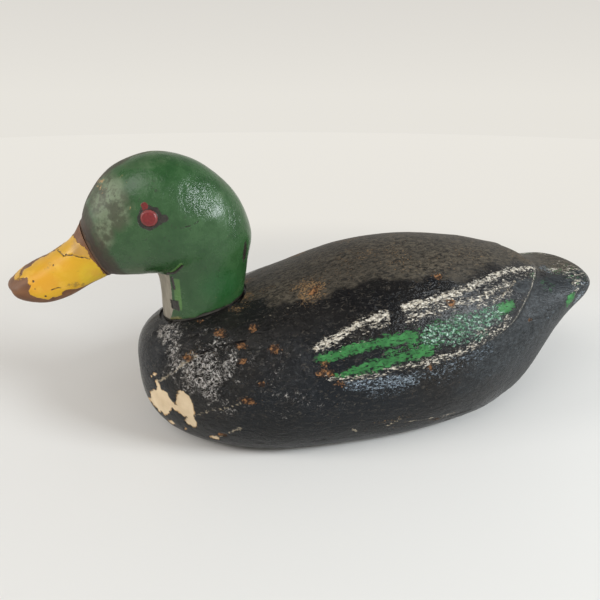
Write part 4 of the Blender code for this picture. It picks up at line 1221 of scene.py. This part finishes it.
def build_eyes(material):
    """Domed eyes with a groove round the rim and a shank in the head."""
    dome = [0.46 * i for i in range(10)]
    profile = [(r, EYE_DOME_HEIGHT - 0.0155 * r**2 - 0.0012 * r**4) for r in dome]
    profile += [(4.4, 1.4), (4.6, 1.1), (4.75, 0.7), (4.9, 0.5), (5.1, 0.45), (5.2, 0.35), (EYE_RADIUS, 0.1),
                (EYE_RADIUS, EYE_BACK), (EYE_SHANK_RADIUS, EYE_BACK), (EYE_SHANK_RADIUS, EYE_SHANK_END),
                (0, EYE_SHANK_END)]
    for node, side in (("eye_left", 1), ("eye_right", -1)):
        facing = Vector((EYE_FACING[0], side * EYE_FACING[1], EYE_FACING[2])).normalized()
        place = Matrix.Translation((EYE_PLACE[0], side * EYE_PLACE[1], EYE_PLACE[2]))
        place = place @ facing.to_track_quat("Z", "Y").to_matrix().to_4x4()
        eye = turned(f"painted_{node}", profile, 64, place)
        places, _ = vertex_arrays(eye)
        local = (places - np.array(place.to_translation())) @ np.array(place.to_3x3())
        radius = np.hypot(local[:, 0], local[:, 1])
        rise = 0.12 * fractal(places, 2.5, 2, 99) * (local[:, 2] > 0)
        # rim holds the painted highlight ring; outer holds the dark line round the rim.
        fields = {"rim": ease(0.8 - np.abs(radius - 4.3), 0, 0.5), "outer": ease(radius, 4.7, 4.95)}
        finish_piece(eye, "turning_head", material, node, fields, rise)


def dress_nodes(nodes):
    """Better materials for the CAD nodes that are shown as they are."""
    steel = metal_material("zinc_steel", (0.50, 0.51, 0.52), (0.30, 0.30, 0.30), (0.20, 0.075, 0.025), 0.30)
    brass = metal_material("brass", (0.52, 0.37, 0.13), (0.20, 0.135, 0.06), (0.10, 0.13, 0.09), 0.22)
    lead = metal_material("lead", (0.26, 0.27, 0.29), (0.13, 0.135, 0.145), (0.34, 0.34, 0.33), 0.18, 0.55)
    looks = {"line_eye": brass, "line_ring": brass, "ballast": lead, "bottom_seal": seam_material()}
    looks.update(dict.fromkeys(("head_bolt", "head_washer", "lock_washer", "head_nut"), steel))
    for name, node in nodes.items():
        material = brass if "screw" in name else looks.get(name)
        if material:
            node.data.materials.clear()
            node.data.materials.append(material)


# ---------------- floor, light and camera
def build_floor():
    """A pale floor that fades into the backdrop away from the duck."""
    bm = bmesh.new()
    bmesh.ops.create_circle(bm, cap_ends=True, radius=FLOOR_RADIUS, segments=96)
    mesh = bpy.data.meshes.new("floor")
    bm.to_mesh(mesh)
    bm.free()
    floor = put_thing("floor", mesh)
    floor.location.z = -FLOOR_DROP
    s = Shader("floor_paper")
    paper = s.mix(s.noise(3, 3, 0.5), (0.72, 0.71, 0.69), (0.75, 0.74, 0.72))
    away = s.node("VectorMath", {0: s.place}, operation="LENGTH").outputs["Value"]
    far = s.ramp(away, *FLOOR_FADE)
    s.put(s.surface.inputs["Emission Color"], BACKDROP)
    s.put(s.surface.inputs["Emission Strength"], far)
    mesh.materials.append(s.finish(s.mix(far, paper, (0.0, 0.0, 0.0)), 0.8, specular=0.1))


def area_light(name, place, aim, size, watts, colour):
    lamp = bpy.data.lights.new(name, "AREA")
    lamp.shape = "RECTANGLE"
    lamp.size, lamp.size_y = size
    lamp.energy = watts
    lamp.color = colour
    thing = put_thing(name, lamp)
    thing.location = place
    thing.rotation_euler = (Vector(aim) - Vector(place)).to_track_quat("-Z", "Y").to_euler()


def build_world():
    """Light from all round: the backdrop's colour level with the floor, and darker overhead."""
    world = bpy.data.worlds.new("studio")
    bpy.context.scene.world = world
    world.use_nodes = True
    tree = world.node_tree
    tree.nodes.clear()
    split = tree.nodes.new("ShaderNodeSeparateXYZ")
    tree.links.new(tree.nodes.new("ShaderNodeTexCoord").outputs["Generated"], split.inputs[0])
    ramp = tree.nodes.new("ShaderNodeValToRGB")
    tree.links.new(split.outputs["Z"], ramp.inputs[0])
    stops = ramp.color_ramp.elements
    stops[0].position, stops[0].color = 0.0, (*BACKDROP, 1)
    stops[1].position, stops[1].color = 0.95, (0.20, 0.195, 0.19, 1)
    stops.new(0.35).color = (0.62, 0.60, 0.57, 1)
    background = tree.nodes.new("ShaderNodeBackground")
    tree.links.new(ramp.outputs["Color"], background.inputs["Color"])
    output = tree.nodes.new("ShaderNodeOutputWorld")
    tree.links.new(background.outputs[0], output.inputs["Surface"])


def build_camera():
    data = bpy.data.cameras.new("camera")
    data.lens, data.sensor_width = CAMERA_LENS, CAMERA_SENSOR
    data.clip_start, data.clip_end = 0.01, 20.0
    camera = put_thing("camera", data)
    azimuth, elevation = math.radians(CAMERA_AZIMUTH), math.radians(CAMERA_ELEVATION)
    level = math.cos(elevation)
    back = Vector((math.sin(azimuth) * level, math.cos(azimuth) * level, math.sin(elevation)))
    camera.location = CAMERA_PLACE
    turn = (-back).to_track_quat("-Z", "Y").to_matrix() @ Matrix.Rotation(math.radians(CAMERA_ROLL), 3, "Z")
    camera.rotation_euler = turn.to_euler()
    bpy.context.scene.camera = camera


def corners(pair):
    return [[round(float(value), 6) for value in corner] for corner in pair]


def main():
    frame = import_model()
    bpy.context.scene.view_settings.view_transform = "Standard"
    build_camera()
    build_world()
    for light in LIGHTS:
        area_light(*light)
    build_floor()
    build_shell(body_material())
    build_head(head_material())
    build_bill(bill_material())
    build_eyes(eye_material())
    dress_nodes(frame["nodes"])


main()
